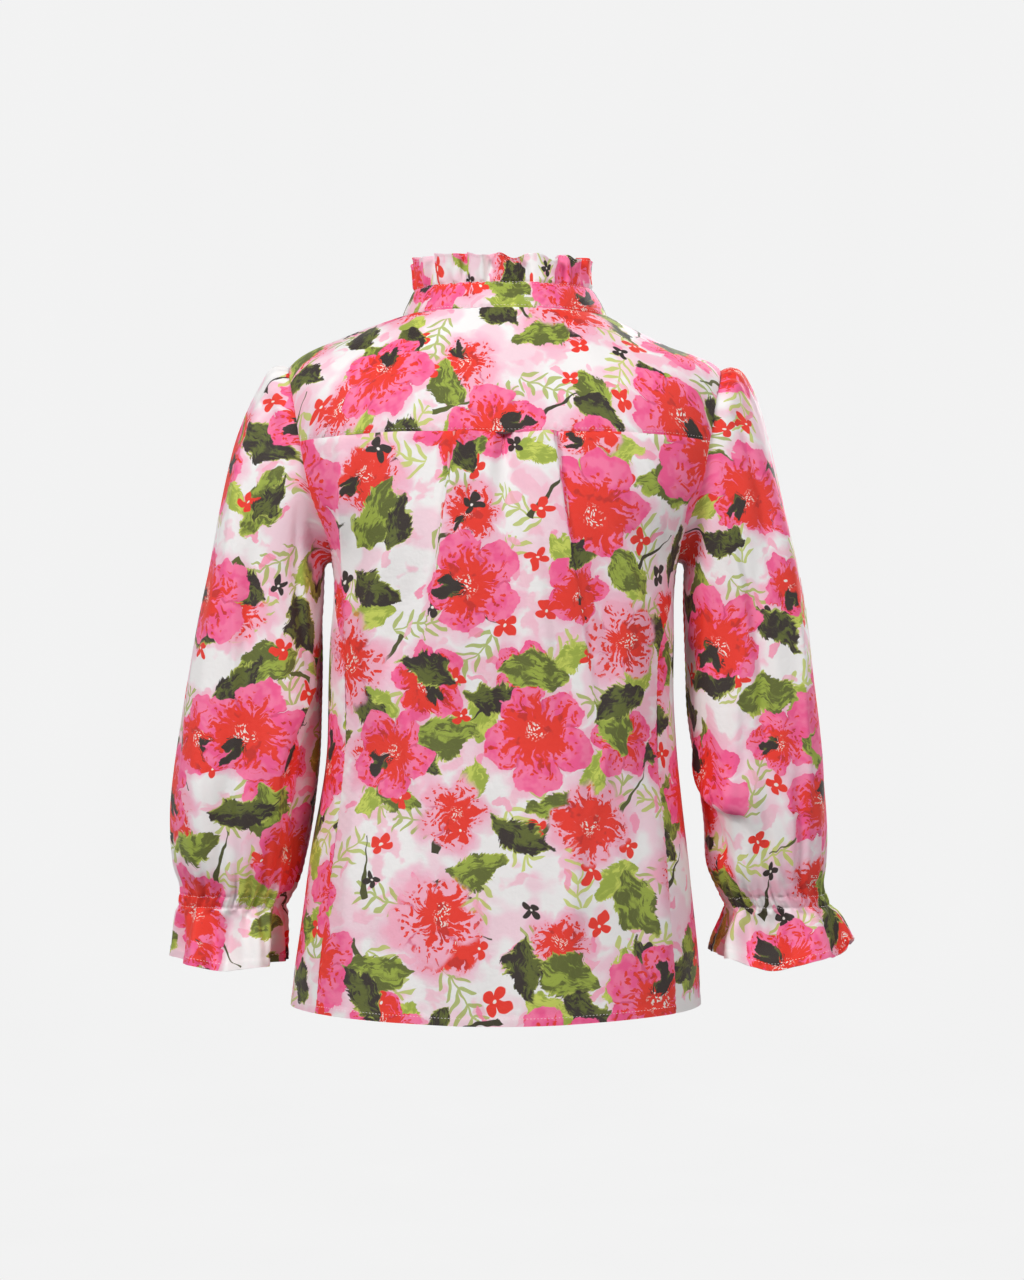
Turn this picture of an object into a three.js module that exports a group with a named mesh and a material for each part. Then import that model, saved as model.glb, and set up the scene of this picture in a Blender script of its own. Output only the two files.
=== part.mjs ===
// A woman's blouse in printed cotton voile, filled out as it is worn, with nobody in it.
// It is cut as a shoulder yoke, a back with pleats under the yoke, two fronts that lap at a buttoned
// placket, a stand collar topped by a gathered ruffle, and two three-quarter sleeves. Each sleeve is
// gathered at the shoulder, drawn in by elastic above the wrist and ends in a flounce.
// Millimetres. +X is the wearer's left, +Y the back, +Z up. The origin is where the wearer's
// shoulders carry it: the middle of the neck opening, at the height of the neck seam.
import * as THREE from "three";

// Driving sizes
const clothThickness = 1.2;
const seamGap = 0.3;
const lapOffset = 1.8; // how far the right front rides out over the left
const lapRampStart = 30; // from the centre front, where the right front has come down again
const lapRampEnd = 48;
const placketWidth = 28;
const placketTop = 3; // below the neck seam
const placketRest = 2; // seam gaps between the placket and the front below it
const buttonRadius = 5.5;
const buttonThickness = 2.4;
const buttonBevel = 0.6;
const buttonSides = 10;
const frontButtonCount = 8;
const firstButtonRun = 28;
const lastButtonRun = 580;
const standButtonShare = 0.5; // of the stand's height
const collarRampStart = (225 * Math.PI) / 180; // where the stand's right end rises over its left end
const collarRampEnd = (245 * Math.PI) / 180;
const ruffleEndGap = 7; // from the centre front to each end of the ruffle
const ruffleWaves = 20;
const ruffleWaveHeight = 4.5;
const ruffleTopRise = 1.2; // how much its top edge wanders up and down
const ruffleWavePoints = 4; // to each wave
const headGathers = 30; // a full turn of them; they show only across the top of the sleeve
const headGatherHeight = 1.4;
const headGatherSpread = 0.25; // cosine of the turn from the sleeve's top at which they end
const cuffGathers = 27; // drawn in by the elastic, round each cuff

const deg = Math.PI / 180;
const angleStep = 0.01; // for slopes
const runStep = 0.5;
const lerp = THREE.MathUtils.lerp;
const smoothstep = THREE.MathUtils.smoothstep;

// The body of the blouse is a stack of rings. "run" is the distance down the cloth from the neck
// seam, "square" the power of the ring's superellipse (2 is an ellipse), and the heights are at the
// side, the centre back and the centre front. "sway" moves a ring to the wearer's left, and "drop"
// lowers its right side, because the blouse doesn't hang quite evenly.
const bodyRings = [
  { name: "neck seam", run: 0, halfWidth: 90, back: 75, front: 92, square: 2.0, sideZ: 2, backZ: 3, frontZ: -66, sway: 0, drop: 0 },
  { name: "mid shoulder", run: 54, halfWidth: 139, back: 90, front: 102, square: 2.2, sideZ: -16, backZ: -38, frontZ: -96, sway: 0, drop: 7 },
  { name: "shoulder point", run: 108, halfWidth: 188, back: 101, front: 111, square: 2.6, sideZ: -42, backZ: -79, frontZ: -128, sway: 0, drop: 3 },
  { name: "shoulder blades", run: 150, halfWidth: 195, back: 107, front: 118, square: 2.8, sideZ: -84, backZ: -114, frontZ: -160, sway: 0, drop: 0 },
  { name: "mid armhole", run: 195, halfWidth: 183, back: 110, front: 123, square: 2.8, sideZ: -148, backZ: -159, frontZ: -190, sway: 0, drop: 0 },
  { name: "underarm", run: 250, halfWidth: 152, back: 112, front: 127, square: 2.5, sideZ: -213, backZ: -214, frontZ: -228, sway: 0, drop: 0 },
  { name: "bust", run: 322, halfWidth: 151, back: 109, front: 126, square: 2.4, sideZ: -285, backZ: -285, frontZ: -288, sway: 3, drop: 0 },
  { name: "waist", run: 417, halfWidth: 154, back: 107, front: 120, square: 2.3, sideZ: -380, backZ: -380, frontZ: -382, sway: 3, drop: 0 },
  { name: "high hip", run: 520, halfWidth: 167, back: 112, front: 122, square: 2.3, sideZ: -483, backZ: -484, frontZ: -484, sway: 5, drop: 0 },
  { name: "hip", run: 595, halfWidth: 176, back: 117, front: 126, square: 2.3, sideZ: -558, backZ: -560, frontZ: -558, sway: 7, drop: 0 },
  { name: "hem", run: 638, halfWidth: 179, back: 119, front: 128, square: 2.3, sideZ: -600, backZ: -606, frontZ: -601, sway: 8, drop: 0 },
];
const hemRun = bodyRings.at(-1).run;

// The stand collar and its ruffle are rings too, above the neck seam
const standTopRing = { halfWidth: 78, back: 67, front: 84, square: 2.0, sideZ: 26, backZ: 26, frontZ: -43, sway: 1, drop: 0 };
const ruffleMidRing = { halfWidth: 76, back: 67, front: 84, square: 2.0, sideZ: 38, backZ: 38, frontZ: -31, sway: 2, drop: 0 };
const ruffleTopRing = { halfWidth: 75, back: 67, front: 85, square: 2.0, sideZ: 49, backZ: 50, frontZ: -20, sway: 2, drop: 0 };

// Where the panels part, as angle round the body (0 at the wearer's left, 90 at the centre back)
// and run down the cloth
const armhole = { halfAngle: 19 * deg, topRun: 109, bottomRun: 250, square: 2.3 };
const underarmAngle = 2 * deg;
const sideSeamAngle = 24 * deg; // the side seams lie behind the sides
const sideSeamStartRun = 230; // where the seam would begin to swing, inside the armhole
const sideSeamSwingRun = 340; // where the seam has swung back that far
const yokeCornerShare = 0.46; // of the way round the back half of the armhole
const frontSeamShare = 0.055; // of the way round the front half of the armhole
const yokeFrontNeckAngle = -14 * deg;
const yokeCentreRun = 141;

// Points round the armhole, shared by the panels and the sleeve so that their edges match
const yokeArmSteps = 8;
const backArmSteps = 8;
const frontArmSteps = 16;
const frontUnderarmRun = 370; // where the underarm's row meets the centre front, well below the armhole
const backUnderarmDip = 60; // how far the underarm's row dips on its way across the back
const lowerRows = 11; // rows from the underarm to the hem, the same in front and back
const backColumns = 32; // shared by the yoke's seam
const frontColumns = 13;
const frontNeckColumns = 8;
const yokeFrontRows = 5; // the same as the front's columns along the yoke's front seam

// The pleats under the yoke: an inverted pleat in the middle and a soft tuck at each side, which
// spread and fade as they fall
const backPleats = [
  { name: "left tuck", x: 41, spread: 0.16, rise: 3.4, soft: 5, inner: 26, fall: 190 },
  { name: "right tuck", x: -41, spread: -0.16, rise: 3.4, soft: 5, inner: 26, fall: 190 },
];
const middlePleat = { halfWidth: 11, spread: 0.05, depth: 4.5, fall: 95 };
const pleatEdge = 1; // how far a tuck's fold turns under

// The largest soft folds of the body: x at the top, lean in x per mm down, height, width, and the
// run between which they show. Negative heights are hollows.
const foldFadeIn = 90;
const foldFadeOut = 60;
const foldEndShare = 0.5; // how much of a fold has gone by its end
const bodyFolds = [
  { side: 1, x: 118, lean: -0.05, height: 4, width: 17, from: 215, to: 420 },
  { side: 1, x: -112, lean: 0.05, height: 4, width: 16, from: 220, to: 430 },
  { side: 1, x: 72, lean: 0.03, height: -3, width: 26, from: 330, to: 652 },
  { side: 1, x: -30, lean: -0.04, height: 3, width: 24, from: 380, to: 652 },
  { side: 1, x: -92, lean: -0.03, height: -3, width: 22, from: 400, to: 652 },
  { side: -1, x: 84, lean: 0.05, height: 4, width: 20, from: 260, to: 652 },
  { side: -1, x: -78, lean: -0.04, height: 4, width: 20, from: 280, to: 652 },
  { side: -1, x: 48, lean: 0.02, height: -3, width: 18, from: 330, to: 652 },
  { side: -1, x: -50, lean: -0.03, height: -3, width: 18, from: 330, to: 652 },
];

// The sleeves from head to hem: each sleeve's outer and inner edge at each section as seen from
// behind (the distance from the centre), half the section's depth, its middle's place along Y, and
// the height of its gathers.
const sleeveSections = [
  { outZ: -55, inZ: -217, leftOut: 212, leftIn: 158, rightOut: 213, rightIn: 157, depth: 62, y: 1, gather: 0 },
  { outZ: -104, inZ: -230, leftOut: 235, leftIn: 159, rightOut: 231, rightIn: 157, depth: 61, y: 1, gather: 0 },
  { outZ: -168, inZ: -249, leftOut: 250, leftIn: 160, rightOut: 246, rightIn: 157, depth: 58, y: 1, gather: 0 },
  { outZ: -226, inZ: -273, leftOut: 262, leftIn: 161, rightOut: 259, rightIn: 158, depth: 57, y: 0, gather: 0 },
  { outZ: -288, inZ: -306, leftOut: 274, leftIn: 161, rightOut: 269, rightIn: 159, depth: 57, y: -1, gather: 0 },
  { outZ: -340, inZ: -345, leftOut: 283, leftIn: 162, rightOut: 275, rightIn: 161, depth: 58, y: -3, gather: 0 },
  { outZ: -391, inZ: -392, leftOut: 291, leftIn: 164, rightOut: 280, rightIn: 168, depth: 60, y: -6, gather: 0 },
  { outZ: -441, inZ: -441, leftOut: 295, leftIn: 171, rightOut: 283, rightIn: 176, depth: 60, y: -10, gather: 0.3 },
  { outZ: -477, inZ: -477, leftOut: 293, leftIn: 178, rightOut: 283, rightIn: 179, depth: 56, y: -13, gather: 1.1 },
  { outZ: -498, inZ: -498, leftOut: 286, leftIn: 186, rightOut: 281, rightIn: 187, depth: 50, y: -15, gather: 1.9 },
  { outZ: -514, inZ: -514, leftOut: 288, leftIn: 194, rightOut: 287, rightIn: 194, depth: 45, y: -16, gather: 1.6 },
  { outZ: -526, inZ: -526, leftOut: 290, leftIn: 195, rightOut: 296, rightIn: 193, depth: 45, y: -17, gather: 1.6 },
  { outZ: -546, inZ: -546, leftOut: 291, leftIn: 195, rightOut: 305, rightIn: 186, depth: 50, y: -18, gather: 2.4 },
];
const sleeveSquare = 2.15;

// Each side's own flounce hem and soft folds. Fold angles run round the sleeve from its outer edge
// (0) over the back (90) to its inner edge (180), and lean by that many degrees a section.
const sleeves = {
  left: {
    mirrored: false,
    hem: { out: 293, in: 195, z: -568, depth: 57, outLift: 9, inLift: -4, waves: 8, waveHeight: 4 },
    folds: [
      { angle: 42, lean: 1.8, height: 4, width: 15, from: 1, to: 11 },
      { angle: 118, lean: -1.2, height: 3.5, width: 16, from: 4, to: 11 },
      { angle: 78, lean: 1.2, height: -3, width: 14, from: 2, to: 10 },
      { angle: 215, lean: 0, height: 3, width: 20, from: 3, to: 11 },
      { angle: 290, lean: 0, height: 3, width: 20, from: 3, to: 11 },
    ],
  },
  right: {
    mirrored: true,
    hem: { out: 307, in: 184, z: -566, depth: 62, outLift: 22, inLift: 22, waves: 7, waveHeight: 4.5 },
    folds: [
      { angle: 38, lean: 1.2, height: 4, width: 14, from: 2, to: 11 },
      { angle: 132, lean: -3, height: 4, width: 15, from: 5, to: 11 },
      { angle: 86, lean: 0.6, height: -3, width: 15, from: 3, to: 10 },
      { angle: 225, lean: 0, height: 3, width: 20, from: 3, to: 11 },
      { angle: 300, lean: 0, height: 3, width: 20, from: 3, to: 11 },
    ],
  },
};

const printedCotton = { color: 0xf3c3cf, roughness: 0.78, metalness: 0 };
const shellButton = { color: 0xf4ece4, roughness: 0.35, metalness: 0 };

// One point of a ring, at an angle round the body
function ringPoint(ring, angle) {
  const across = Math.cos(angle);
  const along = Math.sin(angle);
  const depth = along > 0 ? ring.back : ring.front;
  const power = ring.square;
  const reach =
    (Math.abs(across / ring.halfWidth) ** power + Math.abs(along / depth) ** power) ** (-1 / power);
  const endZ = along > 0 ? ring.backZ : ring.frontZ;
  const z = lerp(ring.sideZ, endZ, along * along) - ring.drop * Math.max(0, -across) ** 2;
  return new THREE.Vector3(reach * across + ring.sway, reach * along, z);
}

// A smooth curve through a list of points at given places along it
function throughPoints(places, points, at) {
  const last = places.length - 1;
  let i = 0;
  while (i < last - 1 && at > places[i + 1]) i += 1;
  const span = places[i + 1] - places[i];
  const t = (at - places[i]) / span;
  const slope = (k) => {
    const before = Math.max(k - 1, 0);
    const after = Math.min(k + 1, last);
    return points[after].clone().sub(points[before]).divideScalar(places[after] - places[before]);
  };
  const t2 = t * t;
  const t3 = t2 * t;
  return new THREE.Vector3()
    .addScaledVector(points[i], 2 * t3 - 3 * t2 + 1)
    .addScaledVector(slope(i), (t3 - 2 * t2 + t) * span)
    .addScaledVector(points[i + 1], -2 * t3 + 3 * t2)
    .addScaledVector(slope(i + 1), (t3 - t2) * span);
}

// The smooth body surface, before pleats and folds
function bodyPoint(angle, run) {
  const places = bodyRings.map((ring) => ring.run);
  return throughPoints(places, bodyRings.map((ring) => ringPoint(ring, angle)), run);
}

function bodyNormal(angle, run) {
  const round = bodyPoint(angle + angleStep, run).sub(bodyPoint(angle - angleStep, run));
  const lower = bodyPoint(angle, Math.min(run + runStep, hemRun));
  const down = lower.sub(bodyPoint(angle, Math.max(run - runStep, 0)));
  return down.cross(round).normalize();
}

// The height of a soft rounded fold at a distance from its ridge
function foldShape(distance, width) {
  return Math.exp(-((distance / width) ** 2));
}

// The height of the back's pleats at a distance below the yoke
function pleatHeight(point, below) {
  if (point.y < 0) return 0;
  let height = 0;
  for (const pleat of backPleats) {
    const edge = Math.abs(pleat.x + pleat.spread * below);
    const inside = Math.sign(pleat.x) * point.x;
    const outer = 1 - smoothstep(inside, edge - pleatEdge, edge + pleat.soft);
    const inner = smoothstep(inside, edge - pleat.inner, edge - pleatEdge);
    height += pleat.rise * outer * inner * Math.exp(-below / pleat.fall);
  }
  const fromMiddle = Math.abs(point.x) / (middlePleat.halfWidth + middlePleat.spread * below);
  height -= middlePleat.depth * Math.max(0, 1 - fromMiddle) * Math.exp(-below / middlePleat.fall);
  return height;
}

// The height of the body's soft folds, which fade in below their top and thin out towards their end
function bodyFoldHeight(point, run) {
  let height = 0;
  for (const fold of bodyFolds) {
    if (Math.sign(point.y) !== fold.side) continue;
    const ridge = fold.x + fold.lean * (run - fold.from);
    const begun = smoothstep(run, fold.from, fold.from + foldFadeIn);
    const ended = foldEndShare * smoothstep(run, fold.to - foldFadeOut, fold.to);
    height += fold.height * begun * (1 - ended) * foldShape(point.x - ridge, fold.width);
  }
  return height;
}

// A point of the cloth, with pleats and folds, moved out by an offset
function clothPoint({ angle, run }, offset = 0, pleated = false) {
  const point = bodyPoint(angle, run);
  let height = offset + bodyFoldHeight(point, run);
  if (pleated) height += pleatHeight(point, Math.max(0, run - yokeRun(angle)));
  return point.addScaledVector(bodyNormal(angle, run), height);
}

// Seam lines, each giving an angle and a run. This one is the yoke's seam across the back.
function yokeRun(angle) {
  const corner = armholeAt(yokeCornerShare);
  return lerp(yokeCentreRun, corner.run, (Math.cos(angle) / Math.cos(corner.angle)) ** 2);
}

// The armhole, from its top (share 0) down its back edge to the underarm (share 1), and down its
// front edge for negative shares
function armholeAt(share) {
  const turn = share * Math.PI;
  const power = 2 / armhole.square;
  const up = Math.sign(Math.cos(turn)) * Math.abs(Math.cos(turn)) ** power;
  const back = Math.sign(Math.sin(turn)) * Math.abs(Math.sin(turn)) ** power;
  const middleRun = (armhole.topRun + armhole.bottomRun) / 2;
  const low = (1 - up) / 2;
  return {
    angle: armhole.halfAngle * back + underarmAngle * low,
    run: middleRun - ((armhole.bottomRun - armhole.topRun) / 2) * up,
  };
}

function shareBetween(from, to, steps) {
  return (i) => lerp(from, to, i / steps);
}
const yokeArmShare = shareBetween(-frontSeamShare, yokeCornerShare, yokeArmSteps);
const backArmShare = shareBetween(yokeCornerShare, 1, backArmSteps);
const frontArmShare = shareBetween(-frontSeamShare, -1, frontArmSteps);

function sideSeamAt(share) {
  const run = lerp(armhole.bottomRun, hemRun, share);
  const swing = smoothstep(run, sideSeamStartRun, sideSeamSwingRun);
  const start = smoothstep(armhole.bottomRun, sideSeamStartRun, sideSeamSwingRun);
  return { angle: lerp(underarmAngle, sideSeamAngle, (swing - start) / (1 - start)), run };
}

function yokeFrontSeamAt(share) {
  const end = armholeAt(-frontSeamShare);
  return { angle: lerp(yokeFrontNeckAngle, end.angle, share), run: end.run * share };
}

const mirror = ({ angle, run }) => ({ angle: Math.PI - angle, run });

// The front edge at a distance x from the centre front
function frontEdgeAt(x, run) {
  const depth = -bodyPoint(-Math.PI / 2, run).y;
  return { angle: -Math.PI / 2 + Math.atan2(x, depth), run };
}

// The panel's wall: both faces are worked out from the same places, so neighbours meet edge to edge
function panelWall(places, place = (at, offset) => clothPoint(at, offset)) {
  const face = (depth) => trimEdges(places.map((row) => row.map((at) => place(at, depth))), seamGap / 2);
  return clothWall(face(0), face(-clothThickness));
}

// Fills the four edges of a panel with rows of places. Each edge is a list of places.
function fillPanel(top, bottom, left, right) {
  const columns = top.length - 1;
  const rows = left.length - 1;
  const blend = (key, i, j) => {
    const u = i / columns;
    const v = j / rows;
    const ruled = lerp(top[i][key], bottom[i][key], v) + lerp(left[j][key], right[j][key], u);
    const corners = lerp(
      lerp(top[0][key], top[columns][key], u),
      lerp(bottom[0][key], bottom[columns][key], u),
      v,
    );
    return ruled - corners;
  };
  return left.map((_, j) => top.map((_, i) => ({ angle: blend("angle", i, j), run: blend("run", i, j) })));
}

const steps = (count, make) => Array.from({ length: count + 1 }, (_, i) => make(i / count, i));

// Draws a panel's edges back along the cloth, to leave a gap at its seams
function trimEdges(grid, amount) {
  const rows = grid.length - 1;
  const columns = grid[0].length - 1;
  const draw = (point, inner) => point.addScaledVector(inner.clone().sub(point).normalize(), amount);
  const old = grid.map((row) => row.map((p) => p.clone()));
  grid.forEach((row, j) => {
    draw(row[0], old[j][1]);
    draw(row[columns], old[j][columns - 1]);
  });
  for (let i = 0; i <= columns; i += 1) {
    draw(grid[0][i], old[1][i]);
    draw(grid[rows][i], old[rows - 1][i]);
  }
  return grid;
}

// A closed wall of cloth between its outer and inner points, given in rows down the cloth with each
// row running anticlockwise as seen from above. A round wall is a tube.
function clothWall(outer, inner, round = false) {
  const rows = outer.length;
  const columns = outer[0].length;
  const flatten = (grid) => grid.flatMap((row) => row.flatMap((point) => point.toArray()));
  const positions = [...flatten(outer), ...flatten(inner)];
  const layer = rows * columns;
  const index = [];
  const quad = (a, b, c, d) => index.push(a, b, c, a, c, d);
  const lastColumn = round ? columns : columns - 1;
  for (let j = 0; j < rows - 1; j += 1) {
    for (let i = 0; i < lastColumn; i += 1) {
      const a = j * columns + i;
      const b = j * columns + ((i + 1) % columns);
      quad(a, a + columns, b + columns, b);
      quad(layer + a, layer + b, layer + b + columns, layer + a + columns);
    }
  }
  const rim = (a, b) => quad(a, b, layer + b, layer + a);
  for (let i = 0; i < lastColumn; i += 1) {
    const next = (i + 1) % columns;
    rim(i, next);
    rim((rows - 1) * columns + next, (rows - 1) * columns + i);
  }
  if (!round) {
    for (let j = 0; j < rows - 1; j += 1) {
      rim((j + 1) * columns, j * columns);
      rim(j * columns + columns - 1, (j + 1) * columns + columns - 1);
    }
  }
  const geometry = new THREE.BufferGeometry();
  geometry.setAttribute("position", new THREE.Float32BufferAttribute(positions, 3));
  geometry.setIndex(index);
  geometry.computeVertexNormals();
  return geometry;
}

// The inner face of a tube, found from the slopes of its outer face
function insideOf(grid) {
  return grid.map((row, j) =>
    row.map((point, i) => {
      const count = row.length;
      const along = row[(i + 1) % count].clone().sub(row[(i + count - 1) % count]);
      const above = grid[Math.max(j - 1, 0)][i];
      const below = grid[Math.min(j + 1, grid.length - 1)][i];
      const normal = below.clone().sub(above).cross(along).normalize();
      return point.clone().addScaledVector(normal, -clothThickness);
    }),
  );
}

const blouse = new THREE.Group();

function addMesh(name, geometry, finish = printedCotton) {
  const mesh = new THREE.Mesh(geometry, new THREE.MeshStandardMaterial(finish));
  mesh.name = name;
  blouse.add(mesh);
  return mesh;
}

// The yoke runs from in front of one shoulder, round the back of the neck, to the other
function buildYoke() {
  const columns = 2 * yokeArmSteps + backColumns;
  const corner = armholeAt(yokeCornerShare);
  const bottom = steps(columns, (u, i) => {
    if (i <= yokeArmSteps) return armholeAt(yokeArmShare(i));
    if (i >= columns - yokeArmSteps) return mirror(armholeAt(yokeArmShare(columns - i)));
    const angle = lerp(corner.angle, Math.PI - corner.angle, (i - yokeArmSteps) / backColumns);
    return { angle, run: yokeRun(angle) };
  });
  const left = steps(yokeFrontRows, (v) => yokeFrontSeamAt(v));
  const places = fillPanel(yokeNeckEdge(), bottom, left, left.map(mirror));
  addMesh("yoke", panelWall(places));
}

function buildBack() {
  const corner = armholeAt(yokeCornerShare);
  const top = steps(backColumns, (u) => {
    const angle = lerp(corner.angle, Math.PI - corner.angle, u);
    return { angle, run: yokeRun(angle) };
  });
  const bottom = steps(backColumns, (u) => ({ angle: lerp(sideSeamAngle, Math.PI - sideSeamAngle, u), run: hemRun }));
  const left = [
    ...steps(backArmSteps, (_, i) => armholeAt(backArmShare(i))),
    ...steps(lowerRows, sideSeamAt).slice(1),
  ];
  const dip = (i, j) => {
    const upper = Math.min(j / backArmSteps, 1) ** 2;
    const lower = 1 - Math.max(j - backArmSteps, 0) / lowerRows;
    return backUnderarmDip * Math.sin((Math.PI * i) / backColumns) * upper * lower;
  };
  const flat = fillPanel(top, bottom, left, left.map(mirror));
  const places = flat.map((row, j) => row.map((at, i) => ({ ...at, run: at.run + dip(i, j) })));
  addMesh("back", panelWall(places, (at, offset) => clothPoint(at, offset, true)));
}

// The edge of a front from the neck to the armhole: the neck seam, then the yoke's front seam
function frontTopEdge(start) {
  return steps(frontColumns, (_, i) => {
    if (i <= frontNeckColumns) return { angle: lerp(start.angle, yokeFrontNeckAngle, i / frontNeckColumns), run: 0 };
    return yokeFrontSeamAt((i - frontNeckColumns) / (frontColumns - frontNeckColumns));
  });
}

function yokeNeckEdge() {
  const neckSpan = Math.PI - 2 * yokeFrontNeckAngle;
  return steps(2 * yokeArmSteps + backColumns, (u) => ({ angle: yokeFrontNeckAngle + neckSpan * u, run: 0 }));
}

// The run of each of a front's rows at its centre edge
function centreRun(row) {
  const upper = Math.min(row / frontArmSteps, 1);
  const lower = Math.max(row - frontArmSteps, 0) / lowerRows;
  return upper * frontUnderarmRun + lower * (hemRun - frontUnderarmRun);
}

// A front's places, from its centre edge round to the side seam. The rows are those of the
// armhole and then those that it shares with the back.
function frontPlaces(centreX) {
  const side = [
    ...steps(frontArmSteps, (_, j) => armholeAt(frontArmShare(j))),
    ...steps(lowerRows, sideSeamAt).slice(1),
  ];
  const rows = side.length - 1;
  const centre = steps(rows, (_, j) => frontEdgeAt(centreX, centreRun(j)));
  const bottom = steps(frontColumns, (u) => ({ angle: lerp(centre[rows].angle, sideSeamAngle, u), run: hemRun }));
  return fillPanel(frontTopEdge(centre[0]), bottom, centre, side);
}

function buildFrontLeft() {
  const places = frontPlaces(-placketWidth / 2);
  addMesh("front_left", panelWall(places));
}

// The right front rises on to the left one near its edge. It is worked out on the left side and
// mirrored.
function buildFrontRight() {
  const places = frontPlaces(-placketWidth / 2);
  const mirrored = places.map((row) => row.map(mirror).reverse());
  const wall = panelWall(mirrored, (at, offset) => {
    const x = -bodyPoint(at.angle, at.run).x;
    return clothPoint(at, offset + lapOffset * (1 - smoothstep(x, lapRampStart, lapRampEnd)));
  });
  addMesh("front_right", wall);
}

// The placket is a band on the edge of the right front
function buildPlacket() {
  const rows = frontArmSteps + lowerRows;
  const offset = lapOffset + clothThickness + placketRest * seamGap;
  const places = steps(rows, (_, j) =>
    [-1, 0, 1].map((side) => frontEdgeAt((side * placketWidth) / 2, Math.max(centreRun(j), placketTop))),
  );
  addMesh("placket", panelWall(places, (at, depth) => clothPoint(at, offset + depth)));
}

function buttonGeometry() {
  const profile = [
    [0, 0],
    [buttonRadius - buttonBevel, 0],
    [buttonRadius, buttonBevel],
    [buttonRadius, buttonThickness - buttonBevel],
    [buttonRadius - buttonBevel, buttonThickness],
    [0, buttonThickness],
  ].map(([x, y]) => new THREE.Vector2(x, y));
  return new THREE.LatheGeometry(profile, buttonSides);
}

function placeButton(name, point, normal) {
  const mesh = addMesh(name, buttonGeometry(), shellButton);
  mesh.position.copy(point);
  mesh.quaternion.setFromUnitVectors(new THREE.Vector3(0, 1, 0), normal);
}

function buildButtons() {
  const offset = lapOffset + clothThickness + (placketRest + 1) * seamGap;
  for (let i = 0; i < frontButtonCount; i += 1) {
    const run = lerp(firstButtonRun, lastButtonRun, i / (frontButtonCount - 1));
    const angle = -Math.PI / 2;
    placeButton(`button_${i + 1}`, clothPoint({ angle, run }, offset), bodyNormal(angle, run));
  }
}

// A point of the collar, at a share of the way from one ring to another
function collarPoint(lower, upper, angle, share, offset = 0) {
  const low = ringPoint(lower, angle);
  const high = ringPoint(upper, angle);
  const round = ringPoint(upper, angle + angleStep).sub(ringPoint(upper, angle - angleStep));
  const normal = low.clone().sub(high).cross(round).normalize();
  return low.lerp(high, share).addScaledVector(normal, offset);
}

// The stand follows the neck edges of the left front, the yoke and the right front, and its right
// end laps over its left end at the centre front
function buildCollarStand() {
  const rows = 2;
  const leftNeck = frontTopEdge(frontEdgeAt(-placketWidth / 2, 0)).slice(0, frontNeckColumns);
  const angles = [...leftNeck, ...yokeNeckEdge(), ...leftNeck.map(mirror).reverse()].map((at) => at.angle);
  const face = (depth) =>
    steps(rows, (v) =>
      angles.map((angle) => {
        const ride = lapOffset * smoothstep(angle, collarRampStart, collarRampEnd);
        return collarPoint(bodyRings[0], standTopRing, angle, 1 - v, ride + depth);
      }),
    );
  const faces = [face(0), face(-clothThickness)].map((grid) => trimEdges(grid, seamGap));
  addMesh("collar_stand", clothWall(...faces));
  const atFront = (offset) => collarPoint(bodyRings[0], standTopRing, -Math.PI / 2, standButtonShare, offset);
  const seat = lapOffset + seamGap;
  placeButton("button_collar", atFront(seat), atFront(seat + 1).sub(atFront(seat)));
}

function buildCollarRuffle() {
  const columns = ruffleWaves * ruffleWavePoints;
  const endAngle = Math.atan2(ruffleEndGap, ruffleTopRing.front);
  const start = -Math.PI / 2 + endAngle;
  const end = (3 * Math.PI) / 2 - endAngle;
  const { sideZ, backZ, frontZ } = standTopRing;
  const lift = 2 * seamGap;
  const ruffleFootRing = { ...standTopRing, sideZ: sideZ + lift, backZ: backZ + lift, frontZ: frontZ + lift };
  const rings = [
    { ring: ruffleTopRing, wave: 1 },
    { ring: ruffleMidRing, wave: 0.6 },
    { ring: ruffleFootRing, wave: 0.12 },
  ];
  const face = (depth) =>
    rings.map(({ ring, wave }) =>
      steps(columns, (u, i) => {
        const angle = lerp(start, end, u);
        const uneven = 0.75 + 0.25 * Math.sin(3.1 * angle + 1) * Math.cos(1.7 * angle);
        const out = ruffleWaveHeight * wave * uneven * Math.sin((i * 2 * Math.PI) / ruffleWavePoints);
        const point = ringPoint(ring, angle);
        const outward = new THREE.Vector3(point.x, point.y, 0).normalize();
        point.z += ruffleTopRise * wave * Math.sin(2.3 * angle + 0.4);
        return point.addScaledVector(outward, out + depth);
      }),
    );
  const faces = [face(0), face(-clothThickness)].map((grid) => trimEdges(grid, seamGap));
  addMesh("collar_ruffle", clothWall(...faces));
}

// The middle of a sleeve section, and a point round it: 0 at the outer edge, a quarter turn at the back
function sectionMiddle(section) {
  return new THREE.Vector3((section.out + section.in) / 2, section.y, (section.outZ + section.inZ) / 2);
}

function sectionPoint(section, turn) {
  const middle = sectionMiddle(section);
  const outEdge = new THREE.Vector3(section.out, section.y, section.outZ).sub(middle);
  const across = Math.cos(turn);
  const along = Math.sin(turn);
  const reach = (Math.abs(across) ** sleeveSquare + Math.abs(along) ** sleeveSquare) ** (-1 / sleeveSquare);
  return middle.addScaledVector(outEdge, across * reach).add(new THREE.Vector3(0, section.depth * along * reach, 0));
}

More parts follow.
